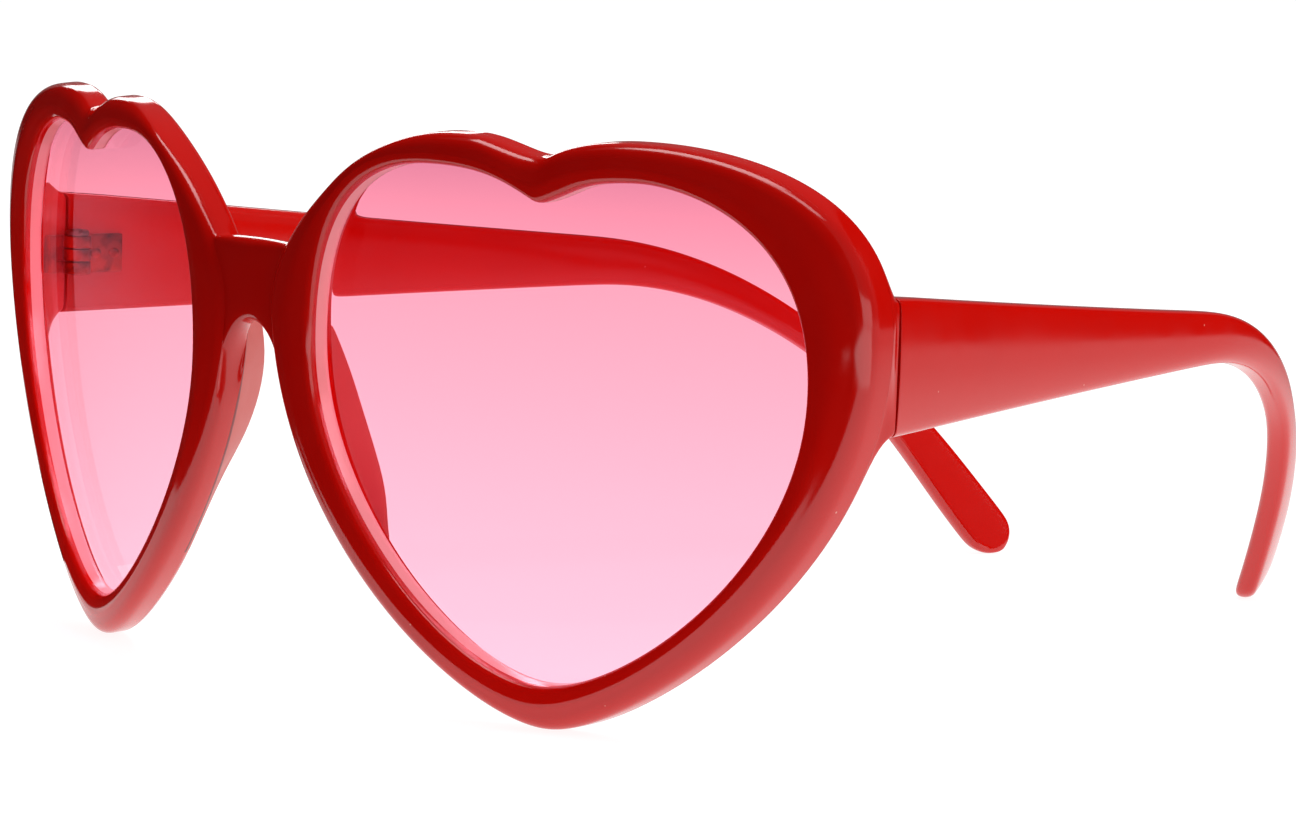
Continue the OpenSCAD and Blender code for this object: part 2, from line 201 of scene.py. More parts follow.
def mirror(obj: Piece, scale: Triple) -> None:
    """Mirrors a piece through the origin in its mesh, with its faces outwards again.

    Args:
        obj: The piece.
        scale: Scale along each axis, 1 or -1.
    """
    pick(obj)
    bpy.ops.transform.resize(value=scale, center_override=(0, 0, 0))
    apply_place()
    bpy.ops.object.mode_set(mode="EDIT")
    bpy.ops.mesh.select_all(action="SELECT")
    bpy.ops.mesh.normals_make_consistent(inside=False)
    bpy.ops.object.mode_set(mode="OBJECT")


def mirrored_copy(obj: Piece, name: str) -> Piece:
    """Copies a left-hand piece to the right-hand side, with its own mesh.

    Args:
        obj: The left-hand piece.
        name: Name of the copy.

    Returns:
        The right-hand piece, with its place in its mesh.
    """
    pick(obj)
    bpy.ops.object.duplicate()
    copy = rename(bpy.context.object, name)
    mirror(copy, (-1, 1, 1))
    return copy


class GrownMesh:
    """A mesh grown ring by ring: each ring is extruded from one before it and then placed.

    Every point keeps a number in a vertex layer, so that rings and patches are found again.
    """

    LAYER = "place_number"

    def __init__(self, name: str, places: Sequence[Triple], filled: bool = False) -> None:
        """Starts from a circle with one point for each place of the first ring, numbered from 0.

        Args:
            name: Name of the piece.
            places: The places in millimetres.
            filled: Whether the first ring is closed by a face.
        """
        deselect_all()
        bpy.ops.mesh.primitive_circle_add(
            vertices=len(places), radius=MM, fill_type="NGON" if filled else "NOTHING"
        )
        self.obj = rename(bpy.context.object, name)
        self.used = len(places)
        bpy.ops.object.mode_set(mode="EDIT")
        bpy.ops.mesh.select_mode(type="VERT")
        mesh = bmesh.from_edit_mesh(self.obj.data)
        layer = mesh.verts.layers.int.new(self.LAYER)
        for number, (vert, place) in enumerate(zip(mesh.verts, places)):
            vert[layer] = number
            vert.co = Vector(place) * MM
        bmesh.update_edit_mesh(self.obj.data)

    def select(self, kind: str, numbers: Iterable[int]) -> None:
        """Selects the points, edges or faces whose points all have these numbers.

        Args:
            kind: Blender's word for them: VERT, EDGE or FACE.
            numbers: Numbers of the points.
        """
        wanted = set(numbers)
        bpy.ops.mesh.select_mode(type=kind)
        bpy.ops.mesh.select_all(action="DESELECT")
        mesh = bmesh.from_edit_mesh(self.obj.data)
        layer = mesh.verts.layers.int[self.LAYER]
        for part in {"VERT": mesh.verts, "EDGE": mesh.edges, "FACE": mesh.faces}[kind]:
            points = [part] if kind == "VERT" else part.verts
            if all(point[layer] in wanted for point in points):
                part.select = True
        if kind == "VERT":
            mesh.select_flush(True)
        bmesh.update_edit_mesh(self.obj.data)

    def grow(
        self, ring: Sequence[int], places: Sequence[Triple], numbers: Sequence[int] = ()
    ) -> Sequence[int]:
        """Extrudes a ring and places its new points.

        Args:
            ring: Numbers of the points to extrude.
            places: The new points' places in millimetres, in the same order.
            numbers: The new points' numbers, or none for the next free ones.

        Returns:
            The new points' numbers.
        """
        numbers = numbers or range(self.used, self.used + len(places))
        self.used = max(self.used, max(numbers) + 1)
        self.select("VERT", ring)
        bpy.ops.mesh.extrude_region_move()
        mesh = bmesh.from_edit_mesh(self.obj.data)
        layer = mesh.verts.layers.int[self.LAYER]
        goal = {old: (new, place) for old, new, place in zip(ring, numbers, places)}
        for vert in mesh.verts:
            if vert.select:
                number, place = goal[vert[layer]]
                vert[layer] = number
                vert.co = Vector(place) * MM
        bmesh.update_edit_mesh(self.obj.data)
        return numbers

    def sweep(self, ring: Sequence[int], rings: Iterable[Sequence[Triple]]) -> Sequence[int]:
        """Grows ring after ring out of one.

        Args:
            ring: Numbers of the points to extrude first.
            rings: Places of each new ring in millimetres.

        Returns:
            The last ring's numbers.
        """
        for places in rings:
            ring = self.grow(ring, places)
        return ring

    def fill(self, ring: Sequence[int]) -> None:
        """Closes a ring by a face."""
        self.select("VERT", ring)
        bpy.ops.mesh.edge_face_add()

    def weld(self) -> None:
        """Merges the points that lie in the same place."""
        bpy.ops.mesh.select_all(action="SELECT")
        bpy.ops.mesh.remove_doubles(threshold=WELD)

    def cut_patch(self, numbers: Iterable[int]) -> None:
        """Deletes the faces whose points all have these numbers."""
        self.select("FACE", numbers)
        bpy.ops.mesh.delete(type="FACE")

    def dress_patch(self, slot: int, numbers: Iterable[int]) -> None:
        """Gives faces the material of a slot.

        Args:
            slot: The slot.
            numbers: Numbers that all of a face's points have.
        """
        self.select("FACE", numbers)
        self.obj.active_material_index = slot
        bpy.ops.object.material_slot_assign()

    def crease(self, value: float, numbers: Iterable[int]) -> None:
        """Creases the edges between points with these numbers, up to 1 for a sharp edge."""
        self.select("EDGE", numbers)
        bpy.ops.transform.edge_crease(value=value)

    def finish(self) -> Piece:
        """Turns all faces outwards and leaves edit mode.

        Returns:
            The piece, in object mode.
        """
        bpy.ops.mesh.select_mode(type="VERT")
        bpy.ops.mesh.select_all(action="SELECT")
        bpy.ops.mesh.normals_make_consistent(inside=False)
        bpy.ops.object.mode_set(mode="OBJECT")
        self.obj.data.attributes.remove(self.obj.data.attributes[self.LAYER])
        return self.obj


# Finishes


def linear(hex_colour: str) -> tuple[float, float, float, float]:
    """Linear colour of an sRGB hex value.

    Args:
        hex_colour: Colour such as "#cd0900".

    Returns:
        Four channels for a colour socket.
    """
    parts = [int(hex_colour[i : i + 2], 16) / 255 for i in (1, 3, 5)]
    red, green, blue = (p / 12.92 if p <= 0.04045 else ((p + 0.055) / 1.055) ** 2.4 for p in parts)
    return (red, green, blue, 1.0)


def scale(size_mm: float) -> float:
    """Scale of a pattern whose cells have this size in millimetres."""
    return 1 / (size_mm * MM)


def add_node(
    tree: Tree, kind: str, inputs: dict[str | int, object] | None = None, **settings: object
) -> bpy.types.Node:
    """Adds a shader node with its settings, values and links.

    Args:
        tree: The node tree.
        kind: The node's type after its first word, ShaderNode.
        inputs: Value, output or node for each input, by name or number. A node gives its first output.
        settings: The node's properties by name.

    Returns:
        The node.
    """
    node = tree.nodes.new(f"ShaderNode{kind}")
    for name, value in settings.items():
        setattr(node, name, value)
    for key, value in (inputs or {}).items():
        if isinstance(value, (bpy.types.Node, Socket)):
            start = value if isinstance(value, Socket) else value.outputs[0]
            tree.links.new(start, node.inputs[key])
        else:
            node.inputs[key].default_value = value
    return node


def new_material(name: str) -> tuple[bpy.types.Material, Tree]:
    """Makes an empty node material.

    Args:
        name: Name of the material.

    Returns:
        The material and its node tree.
    """
    material = bpy.data.materials.new(name)
    material.use_nodes = True
    material.node_tree.nodes.clear()
    return material, material.node_tree


@dataclass(frozen=True)
class MouldedPlastic:
    """Injection-moulded polycarbonate, from a polished or a matt tool."""

    name: str
    colour: str = "#cf0a02"
    streak: str = "#c30701"
    roughness: float = 0.11
    roughness_spread: float = 0.05
    ior: float = 1.58
    flow_mm: float = 22.0
    haze_mm: float = 4.0
    peel_mm: float = 0.002
    peel_wave_mm: float = 2.6
    grain_mm: float = 0.0
    grain_wave_mm: float = 0.35
    speck: str = "#f3b9a8"
    speck_mm: float = 0.16
    speck_apart_mm: float = 5.0
    speck_cover: float = 0.55

    def material(self) -> bpy.types.Material:
        """Builds the material: even colour, a faint flow streak, and the tool's own surface.

        Returns:
            The material.
        """
        material, tree = new_material(self.name)
        place = add_node(tree, "TexCoord").outputs["Object"]
        # Flow of the melt: a few centimetres long, hardly seen
        flow = add_node(
            tree, "TexNoise",
            {"Vector": place, "Scale": scale(self.flow_mm), "Detail": 2.0, "Distortion": 0.6},
        )
        colour = add_node(
            tree, "Mix", {"Factor": flow, "A": linear(self.colour), "B": linear(self.streak)},
            data_type="RGBA",
        )
        # Pale dust in the melt: the surface cuts a speck on about four square centimetres
        seeds = add_node(tree, "TexVoronoi", {"Vector": place, "Scale": scale(self.speck_apart_mm)})
        radius = self.speck_mm / self.speck_apart_mm
        speck = add_node(
            tree, "MapRange",
            {"Value": seeds, "From Min": radius, "From Max": radius / 2, "To Max": self.speck_cover},
        )
        specked = add_node(
            tree, "Mix", {"Factor": speck, "A": colour.outputs[2], "B": linear(self.speck)},
            data_type="RGBA",
        )
        # Handling haze makes the gloss a little uneven
        haze = add_node(tree, "TexNoise", {"Vector": place, "Scale": scale(self.haze_mm), "Detail": 5.0})
        spread = self.roughness_spread / 2
        rough = add_node(
            tree, "MapRange",
            {
                "Value": haze, "From Min": 0.3, "From Max": 0.7,
                "To Min": max(0.02, self.roughness - spread), "To Max": self.roughness + spread,
            },
        )
        # Orange peel of the moulded skin, a few millimetres long, and the grain of a matt tool
        bump = None
        for deep, wave, detail in (
            (self.peel_mm, self.peel_wave_mm, 1.0), (self.grain_mm, self.grain_wave_mm, 3.0)
        ):
            if deep:
                relief = add_node(
                    tree, "TexNoise", {"Vector": place, "Scale": scale(wave), "Detail": detail}
                )
                under = {"Normal": bump} if bump is not None else {}
                bump = add_node(
                    tree, "Bump", {"Height": relief, "Strength": 1.0, "Distance": deep * MM, **under}
                )
        shader = add_node(
            tree, "BsdfPrincipled",
            {"Base Color": specked.outputs[2], "Roughness": rough, "IOR": self.ior, "Normal": bump},
        )
        add_node(tree, "OutputMaterial", {"Surface": shader})
        return material


@dataclass(frozen=True)
class TintedLens:
    """Acrylic sheet, cast clear and dyed pink, deeper along its top edge."""

    name: str = "dyed_acrylic_lens"
    top: str = "#c4708a"
    middle: str = "#fb95a9"
    low: str = "#ffbbd0"
    top_z: float = 62.0
    middle_z: float = 48.0
    low_z: float = 6.0
    wipe_mm: float = 15.0
    # Below acrylic's 1.49, at which the far lens mirrors the room inside itself and veils the hinge
    ior: float = 1.15

    def material(self) -> bpy.types.Material:
        """Builds the material: clear pink glass that lets the lamps' light through.

        Returns:
            The material.
        """
        material, tree = new_material(self.name)
        place = add_node(tree, "TexCoord").outputs["Object"]
        height = add_node(tree, "SeparateXYZ", {"Vector": place}).outputs["Z"]
        share = add_node(
            tree, "MapRange",
            {"Value": height, "From Min": self.low_z * MM, "From Max": self.top_z * MM},
        )
        dye = add_node(tree, "ValToRGB", {"Fac": share})
        ramp = dye.color_ramp.elements
        ramp[0].color = linear(self.low)
        ramp[1].color = linear(self.top)
        ramp.new((self.middle_z - self.low_z) / (self.top_z - self.low_z)).color = linear(self.middle)
        # Wiping haze: long faint patches that dull the polish
        wipe = add_node(tree, "TexNoise", {"Vector": place, "Scale": scale(self.wipe_mm), "Detail": 3.0})
        rough = add_node(
            tree, "MapRange",
            {"Value": wipe, "From Min": 0.4, "From Max": 0.7, "To Min": 0.0, "To Max": 0.02},
        )
        glass = add_node(
            tree, "BsdfPrincipled",
            {"Base Color": dye, "Roughness": rough, "IOR": self.ior, "Transmission Weight": 1.0},
        )
        clear = add_node(tree, "BsdfTransparent", {"Color": dye})
        shadow = add_node(tree, "LightPath").outputs["Is Shadow Ray"]
        mixed = add_node(tree, "MixShader", {0: shadow, 1: glass, 2: clear})
        add_node(tree, "OutputMaterial", {"Surface": mixed})
        return material


@dataclass(frozen=True)
class PlatedMetal:
    """Pressed and plated steel, dulled by handling."""

    name: str = "tarnished_coppered_steel"
    colour: str = "#c23a26"
    tarnish: str = "#6b2014"
    roughness: float = 0.34
    wear_mm: float = 1.6
    line_mm: float = 1.2
    line_stretch: float = 12.0
    line_deep_mm: float = 0.02

    def material(self) -> bpy.types.Material:
        """Builds the material: metal with duller worn patches and fine stamping lines.

        Returns:
            The material.
        """
        material, tree = new_material(self.name)
        place = add_node(tree, "TexCoord").outputs["Object"]
        wear = add_node(tree, "TexNoise", {"Vector": place, "Scale": scale(self.wear_mm), "Detail": 6.0})
        share = add_node(tree, "MapRange", {"Value": wear, "From Min": 0.45, "From Max": 0.72})
        colour = add_node(
            tree, "Mix", {"Factor": share, "A": linear(self.colour), "B": linear(self.tarnish)},
            data_type="RGBA",
        )
        rough = add_node(
            tree, "MapRange",
            {"Value": wear, "To Min": self.roughness - 0.08, "To Max": self.roughness + 0.18},
        )
        stretch = add_node(tree, "Mapping", {"Vector": place, "Scale": (1.0, 1.0, self.line_stretch)})
        lines = add_node(
            tree, "TexNoise", {"Vector": stretch, "Scale": scale(self.line_mm), "Detail": 3.0}
        )
        bump = add_node(
            tree, "Bump", {"Height": lines, "Strength": 0.6, "Distance": self.line_deep_mm * MM}
        )
        shader = add_node(
            tree, "BsdfPrincipled",
            {"Base Color": colour.outputs[2], "Metallic": 1.0, "Roughness": rough, "Normal": bump},
        )
        add_node(tree, "OutputMaterial", {"Surface": shader})
        return material


class Finish(Enum):
    """Finishes of the pieces."""

    # From a polished tool: deep red under clear, slightly uneven reflections
    GLOSS = MouldedPlastic("polished_moulded_polycarbonate")
    # From a grained tool, where the pads lie on the nose: soft, with no sharp reflections; the paler pink
    # colour is painted sheen and painted bounce light
    MATT = MouldedPlastic(
        "matt_polycarbonate_painted_sheen", colour="#cf625c", streak="#c95852", roughness=0.5,
        roughness_spread=0.1, grain_mm=0.006,
    )
    # Thin wall between lip and lens: pale pink, which is painted light for the reflections and the light
    # through the lens on it, with a soft shine
    WALL = MouldedPlastic(
        "polished_opening_wall_painted_light", colour="#f2b0b0", streak="#edaaaa", roughness=0.2
    )
    # Rough step between the tool's halves: a thin line, darkened by painted shade in its groove
    SEAM = MouldedPlastic(
        "rough_parting_line_painted_shade", colour="#850703", streak="#740402", roughness=0.4,
        roughness_spread=0.2,
    )
    # Clear pink, deeper towards the top, with hardly any shine of its own
    DYE = TintedLens()
    # Mottled red-brown metal with a dull shine
    PLATE = PlatedMetal()
    # Grey metal, a little brighter than the leaves
    STEEL = PlatedMetal("zinc_plated_steel_screw", colour="#9a948e", tarnish="#5f5851", roughness=0.3)


# Shape of the front


@dataclass(frozen=True)
class HeartOutline:
    """Heart as shares of its box: six places, notch first over the nose-side lobe, and their handles."""

    places: tuple[Pair, ...]
    handles: tuple[float, ...]

    def points(self, low: Pair, size: Pair, steps: int) -> list[Pair]:
        """Outline inside a box.

        Args:
            low: Lowest corner of the box.
            size: Width and height of the box.
            steps: Points along each of the six curves.

        Returns:
            The closed outline's points.
        """
        n, t, s, b, u, v = [(low[0] + size[0] * p[0], low[1] + size[1] * p[1]) for p in self.places]
        k = self.handles
        nose_notch = (n[0] - (n[0] - t[0]) * k[0], n[1] + (t[1] - n[1]) * k[1])
        outer_notch = (n[0] + (u[0] - n[0]) * k[11], n[1] + (u[1] - n[1]) * k[12])
        curves = (
            (n, nose_notch, (t[0] + (n[0] - t[0]) * k[2], t[1]), t),
            (t, (t[0] - (t[0] - s[0]) * k[3], t[1]), (s[0], s[1] + (t[1] - s[1]) * k[4]), s),
            (s, (s[0], s[1] - (s[1] - b[1]) * k[5]), (b[0] - (b[0] - s[0]) * k[6], b[1]), b),
            (b, (b[0] + (v[0] - b[0]) * k[6], b[1]), (v[0], v[1] - (v[1] - b[1]) * k[7]), v),
            (v, (v[0], v[1] + (u[1] - v[1]) * k[8]), (u[0] + (v[0] - u[0]) * k[9], u[1]), u),
            (u, (u[0] - (u[0] - n[0]) * k[10], u[1]), outer_notch, n),
        )
        return [q for curve in curves for q in cubic(*curve, steps)]


@dataclass(frozen=True)
class FrontShape:
    """Sizes that the rim, the lenses and the arms share, and the places that follow from them."""

    opening_w: float = 54.4
    opening_h: float = 54.9
    rim_to_middle: float = 3.4
    rim_nose: float = 6.2
    rim_outer: float = 6.4
    rim_top: float = 3.4
    rim_bottom: float = 4.9
    middle_share: float = 0.4645
    bow_depth: float = 23.4
    bow_share: float = 0.63
    tilt: float = 3.1
    front_y: float = -76.0151
    front_lift: float = 29.8113
    curve_steps: int = 12
    opening: HeartOutline = HeartOutline(
        ((0.5, 0.933), (0.268, 1), (0, 0.614), (0.496, 0), (0.684, 0.98), (1, 0.616)),
        (0.25, 0.57, 0.54, 0.43, 0.83, 0.47, 0.34, 0.55, 0.88, 0.2, 0.61, 0.41, 0.56),
    )
    rim: HeartOutline = HeartOutline(
        ((0.497, 0.96), (0.33, 1), (0, 0.687), (0.501, 0), (0.625, 0.995), (1, 0.696)),
        (0.61, 0.95, 0.46, 0.38, 0.4, 0.56, 0.24, 0.59, 0.8, 0.4, 0.48, 0.16, 0.57),
    )
    # Stations round the notch, in the order in which they are drawn towards their neighbours
    softened: tuple[int, ...] = (0, -1, 1, -2, 2, 0, -1, 1, 0)

    @property
    def half_w(self) -> float:
        """Half of the front's width."""
        return self.rim_to_middle + self.rim_nose + self.opening_w + self.rim_outer

    @property
    def low(self) -> float:
        """Height of the opening's lowest place on the upright front."""
        return -self.opening_h * self.middle_share

    def bow(self, x: float) -> float:
        """Depth of the rim's face behind the middle, at a distance from it."""
        u = abs(x) / self.half_w
        return self.bow_depth * u * u * (1 + self.bow_share - self.bow_share * u)

    def leaned(self, place: Triple) -> Triple:
        """Brings a place on the upright front into the glasses' own frame.

        Args:
            place: Place on the upright front.

        Returns:
            The place on the leaning front.
        """
        x, y, z = place
        s, c = sine(self.tilt), cosine(self.tilt)
        return (x, y * c - z * s + self.front_y, y * s + z * c + self.front_lift)

    def opening_line(self) -> list[Pair]:
        """Outline of the left opening."""
        corner = (self.rim_to_middle + self.rim_nose, self.low)
        return self.opening.points(corner, (self.opening_w, self.opening_h), self.curve_steps)

    def rim_line(self) -> list[Pair]:
        """Outline of the left rim's outside, with its notch rounded as the mould's is.

        Returns:
            The closed outline's points.
        """
        corner = (self.rim_to_middle, self.low - self.rim_bottom)
        size = (
            self.rim_nose + self.opening_w + self.rim_outer, self.rim_bottom + self.opening_h + self.rim_top
        )
        line = self.rim.points(corner, size, self.curve_steps)
        for i in self.softened:
            before, after = line[i - 1], line[i + 1]
            line[i] = tuple((line[i][k] * 2 + before[k] + after[k]) / 4 for k in (0, 1))
        return line

    def stations(self) -> list[tuple[Pair, Pair, float]]:
        """Finds the stations round the rim.

        Returns:
            Place on the opening, direction outwards and width of the rim, for each station.
        """
        found = []
        for a, b in zip(self.opening_line(), self.rim_line()):
            width = math.dist(a, b)
            found.append((a, ((b[0] - a[0]) / width, (b[1] - a[1]) / width), width))
        return found


SHAPE = FrontShape()


@dataclass
class Arm:
    """Temple arm: straight run, bend over the ear and tail, with a round tip."""

    front_h: float = 14.6
    waist_h: float = 3.4
    tip_h: float = 6.6
    front_t: float = 4.2
    tip_t: float = 3.0
    edge_r: float = 1.0
    edge_share: float = 0.48
    straight_l: float = 74.7
    bend_r: float = 58.2
    bend_angle: float = 57.6
    hook_in: float = 15.6
    toe_in: float = 13.2
    slope: float = 2.0
    leaf_face: float = 1.8
    joint_gap: float = 0.3
    length: float = 140.8
    waist_share: float = 0.67
    taper_power: float = 1.25
    crown: float = 0.22
    inner_crown_share: float = 0.4
    tip_close: float = 0.03
    pin: Triple = (63.1372, -47.3639, 41.0113)
    edge_steps: int = 3
    end_insets: Pair = (0.9, 0.97)
    first_stations: Triple = (0.35, 1.0, 3.5)
    run_steps: int = 12
    bend_steps: int = 14
    tail_steps: int = 3
    tip_steps: int = 5

    @property
    def bend_l(self) -> float:
        """Length of the bend."""
        return math.radians(self.bend_angle - self.slope) * self.bend_r

    def path(self, s: float) -> Triple:
        """Middle line of the upright arm.

        Args:
            s: Length along the arm.

        Returns:
            Distance back, height and downward angle in degrees.
        """
        a0 = self.slope
        if s <= self.straight_l:
            return (s * cosine(a0), self.pin[2] - s * sine(a0), a0)
        a = min(self.bend_angle, a0 + math.degrees((s - self.straight_l) / self.bend_r))
        rest = max(0.0, s - self.straight_l - self.bend_l)
        back = self.straight_l * cosine(a0) + self.bend_r * (sine(a) - sine(a0)) + rest * cosine(a)
        drop = self.straight_l * sine(a0) + self.bend_r * (cosine(a0) - cosine(a)) + rest * sine(a)
        return (back, self.pin[2] - drop, a)

    def height(self, s: float) -> float:
        """Height of the section.

        Args:
            s: Length along the arm.

        Returns:
            The height there.
        """
        waist = self.straight_l + self.bend_l * self.waist_share
        if s < waist:
            share = (1 - max(0.0, s) / waist) ** self.taper_power
            return self.waist_h + (self.front_h - self.waist_h) * share
        share = min(1.0, (s - waist) / (self.length - waist))
        return self.waist_h + (self.tip_h - self.waist_h) * sine(90 * share)

    def section(self, thick: float, high: float) -> list[Pair]:
        """Round-edged bar with crowned broad faces, from the middle of the outer one round.

        Args:
            thick: Its thickness.
            high: Its height.

        Returns:
            Distance outwards and upwards of each point.
        """
        r = min(self.edge_r, thick * self.edge_share, high * self.edge_share)
        x, z, n = thick / 2 - r, high / 2 - r, self.edge_steps
        crown = self.crown * min(1.0, high / self.front_h)
        return (
            [(thick / 2 + crown, 0.0)] + arc((x, z), r, 0, 90, n) + arc((-x, z), r, 90, 90, n)
            + [(-thick / 2 - crown * self.inner_crown_share, 0.0)]
            + arc((-x, -z), r, 180, 90, n) + arc((x, -z), r, 270, 90, n)
        )

    def placed(self, out: float, back: float, z: float) -> Triple:
        """Place at a distance outwards from the pin and back along the arm, at a height."""
        s, c = sine(self.toe_in), cosine(self.toe_in)
        return (self.pin[0] + out * c - back * s, self.pin[1] + out * s + back * c, z)

    def joint_plane(self, out: float, side: int) -> float:
        """Distance back to the arm's end (side 1) or the end block's (side -1), at one outwards."""
        return (side * self.joint_gap / 2 - out * sine(self.toe_in)) / cosine(self.toe_in)

    def ring(self, s: float, inset: float = 1.0) -> list[Triple]:
        """Ring of the section at a length, in the glasses' own frame.

        Args:
            s: Length along the arm. At 0 the ring lies in the joint's plane.
            inset: Scale of the section about its middle.

        Returns:
            The ring's places in millimetres.
        """
        past = max(0.0, s - self.length) / (self.tip_h / 2)
        shrink = math.sqrt(max(self.tip_close, 1 - past * past))
        thick = self.front_t + (self.tip_t - self.front_t) * min(1.0, s / self.length)
        if past > 0:
            thick *= math.sqrt(shrink)
        swept = max(0.0, s - self.straight_l) / (self.length - self.straight_l)
        middle = self.leaf_face + self.front_t / 2 - self.hook_in * swept * swept
        back, height, angle = self.path(s)
        places = []
        for across, up in self.section(thick, self.height(s) * shrink):
            out, up = middle + across * inset, up * inset
            # The first millimetre turns from the joint's plane to the square section
            if s <= 1:
                plane = self.joint_plane(out, 1)
                places.append(self.placed(out, plane + back + up * sine(angle) * s, height + up))
            else:
                places.append(self.placed(out, back + up * sine(angle), height + up * cosine(angle)))
        return places

    def stations(self) -> list[float]:
        """Finds where rings stand.

        Returns:
            Lengths along the arm.
        """
        bend, tail = self.bend_l, self.length - self.straight_l - self.bend_l
        run, turn, end, tip = self.run_steps, self.bend_steps, self.tail_steps, self.tip_steps
        return (
            list(self.first_stations) + [self.straight_l * i / run for i in range(1, run)]
            + [self.straight_l + bend * i / turn for i in range(turn)]
            + [self.straight_l + bend + tail * i / end for i in range(end + 1)]
            + [self.length + self.tip_h / 2 * sine(90 * i / tip) for i in range(1, tip + 1)]
        )

    def build(self, name: str) -> Piece:
        """Grows the left arm from its front end to its tip.

        Args:
            name: Name of the piece.

        Returns:
            The arm.
        """
        face, *rings = [self.ring(0.0, inset) for inset in (*self.end_insets, 1.0)]
        rings += [self.ring(s) for s in self.stations()]
        grown = GrownMesh(name, face, filled=True)
        grown.fill(grown.sweep(range(len(face)), rings))
        obj = grown.finish()
        apply_modifier(obj, "SUBSURF", levels=2, render_levels=2)
        smooth(obj)
        return obj


@dataclass
class Front:
    """Front frame: two heart rims, the bridge, the nose pads and the end blocks, in one moulding."""

    rim_depth: float = 5.0
    face_crown: float = 1.0
    rim_edge_r: float = 2.1
    lip_r: float = 1.2
    back_edge_r: float = 1.1
    bridge_top: float = 19.8
    bridge_underside: float = 10.7
    bridge_step: float = 1.0
    bridge_edge_r: float = 1.2
    bridge_setback: float = 0.75
    bridge_steps: int = 6
    bridge_stations: int = 5
    pad_reach: float = 4.3
    pad_h: float = 31.0
    pad_rise: float = 0.5
    pad_top_power: float = 4.0
    pad_foot_power: float = 1.7
    pad_flare: float = 2.4
    pad_edge_t: float = 1.9
    # How soon after its end a pad has its whole lean, its round edge and its parting line
    pad_lean_rate: float = 1.5
    pad_edge_rate: float = 4.0
    pad_seam_rate: float = 6.0
    pad_seam: float = 0.36
    seam_share: float = 0.6
    seam_dip: float = 0.16
    lens_setback: float = 3.1
    lens_lap: float = 1.2
    lens_gap: float = 0.08
    rabbet_wall: float = 0.3
    rabbet_crease: float = 0.9
    edge_steps: int = 3
    outer_steps: int = 5
    back_steps: int = 4
    # The end block's first station before the outermost one, and for each of its rings the
    # distance before the joint's plane and the scale
    block_before: int = 2
    block_rings: tuple[Pair, ...] = ((0.35, 1.0), (0.0, 1.0), (0.0, 0.96), (0.0, 0.8))
    shape: FrontShape = SHAPE

    # Places round the section: the bridge grows out between FRONT_J and WALL_J and the end block
    # between BACK_J and FOOT_J, where the rabbet begins. COUNT is the number of places
    FRONT_J = 8
    WALL_J = 11
    BACK_J = 15
    FOOT_J = 19
    COUNT = 23

    def rim_section(self, width: float, pad: float) -> list[Pair]:
        """Section of the rim: distance out from the opening and depth behind the face.

        Args:
            width: Width of the rim here.
            pad: Share of the nose pad's reach here.

        Returns:
            The section's points.
        """
        edge = min(self.rim_edge_r, width - self.lip_r - self.lens_gap)
        flat = width - self.lip_r - edge
        r = self.back_edge_r + (self.pad_edge_t / 2 - self.back_edge_r) * pad
        lean = self.pad_flare * sine(90 * min(1.0, self.pad_lean_rate * pad))
        sweep = 90 * (1 + min(1.0, self.pad_edge_rate * pad))
        top = self.rim_depth - r + self.pad_reach * pad
        wall = self.rim_depth - self.bridge_step
        seam = min(self.pad_seam, (top - wall) * self.seam_share)
        dip = self.seam_dip * min(1.0, self.pad_seam_rate * pad)
        slide = lean * seam / max(seam, top - wall)
        return (
            arc((self.lip_r, self.lip_r), self.lip_r, 180, 90, self.edge_steps)
            + [(self.lip_r + flat / 2, -self.face_crown * flat / self.shape.rim_outer)]
            + arc((width - edge, edge), edge, 270, 90, self.outer_steps)
            + [(width, wall), (width - dip - slide / 2, wall + seam / 2), (width - slide, wall + seam)]
            + arc((width - r - lean, top), r, 0, sweep, self.back_steps)
            + [
                (self.lens_lap + self.rabbet_wall, self.rim_depth), (self.lens_lap, self.rim_depth),
                (self.lens_lap, self.lens_setback), (0.0, self.lens_setback),
            ]
        )

    def pad_share(self, i: int, height: float) -> float:
        """Share of the nose pad's reach.

        Args:
            i: Station of the rim.
            height: Its height on the upright front.

        Returns:
            The share, from 0 to 1.
        """
        steps = self.shape.curve_steps
        p = (height - self.pad_rise) / (self.pad_h / 2)
        power = self.pad_top_power if p > 0 else self.pad_foot_power
        return max(0.0, 1 - abs(p) ** power) if steps < i < 3 * steps else 0.0

    def rim_rings(self) -> list[list[Triple]]:
        """Rings of the rim's section round the left heart, upright.

        Returns:
            Places of each ring in millimetres.
        """
        rings, line = [], self.shape.rim_line()
        for i, (a, out, width) in enumerate(self.shape.stations()):
            ring = []
            for across, deep in self.rim_section(width, self.pad_share(i, line[i][1])):
                x, z = a[0] + out[0] * across, a[1] + out[1] * across
                ring.append((x, self.shape.bow(x) + deep, z))
            rings.append(ring)
        return rings

    @staticmethod
    def along(k: int, n: int, side: float, r: float) -> float:
        """Place along a side whose corners are rounded.

        Args:
            k: Number of the place.
            n: Number of the last place.
            side: Length of the side.
            r: Radius of its corners.

        Returns:
            Its distance from the side's start.
        """
        corner = r * (1 - cosine(45))
        if k in (0, n):
            return corner if k == 0 else side - corner
        return r + (side - 2 * r) * (k - 1) / (n - 2)

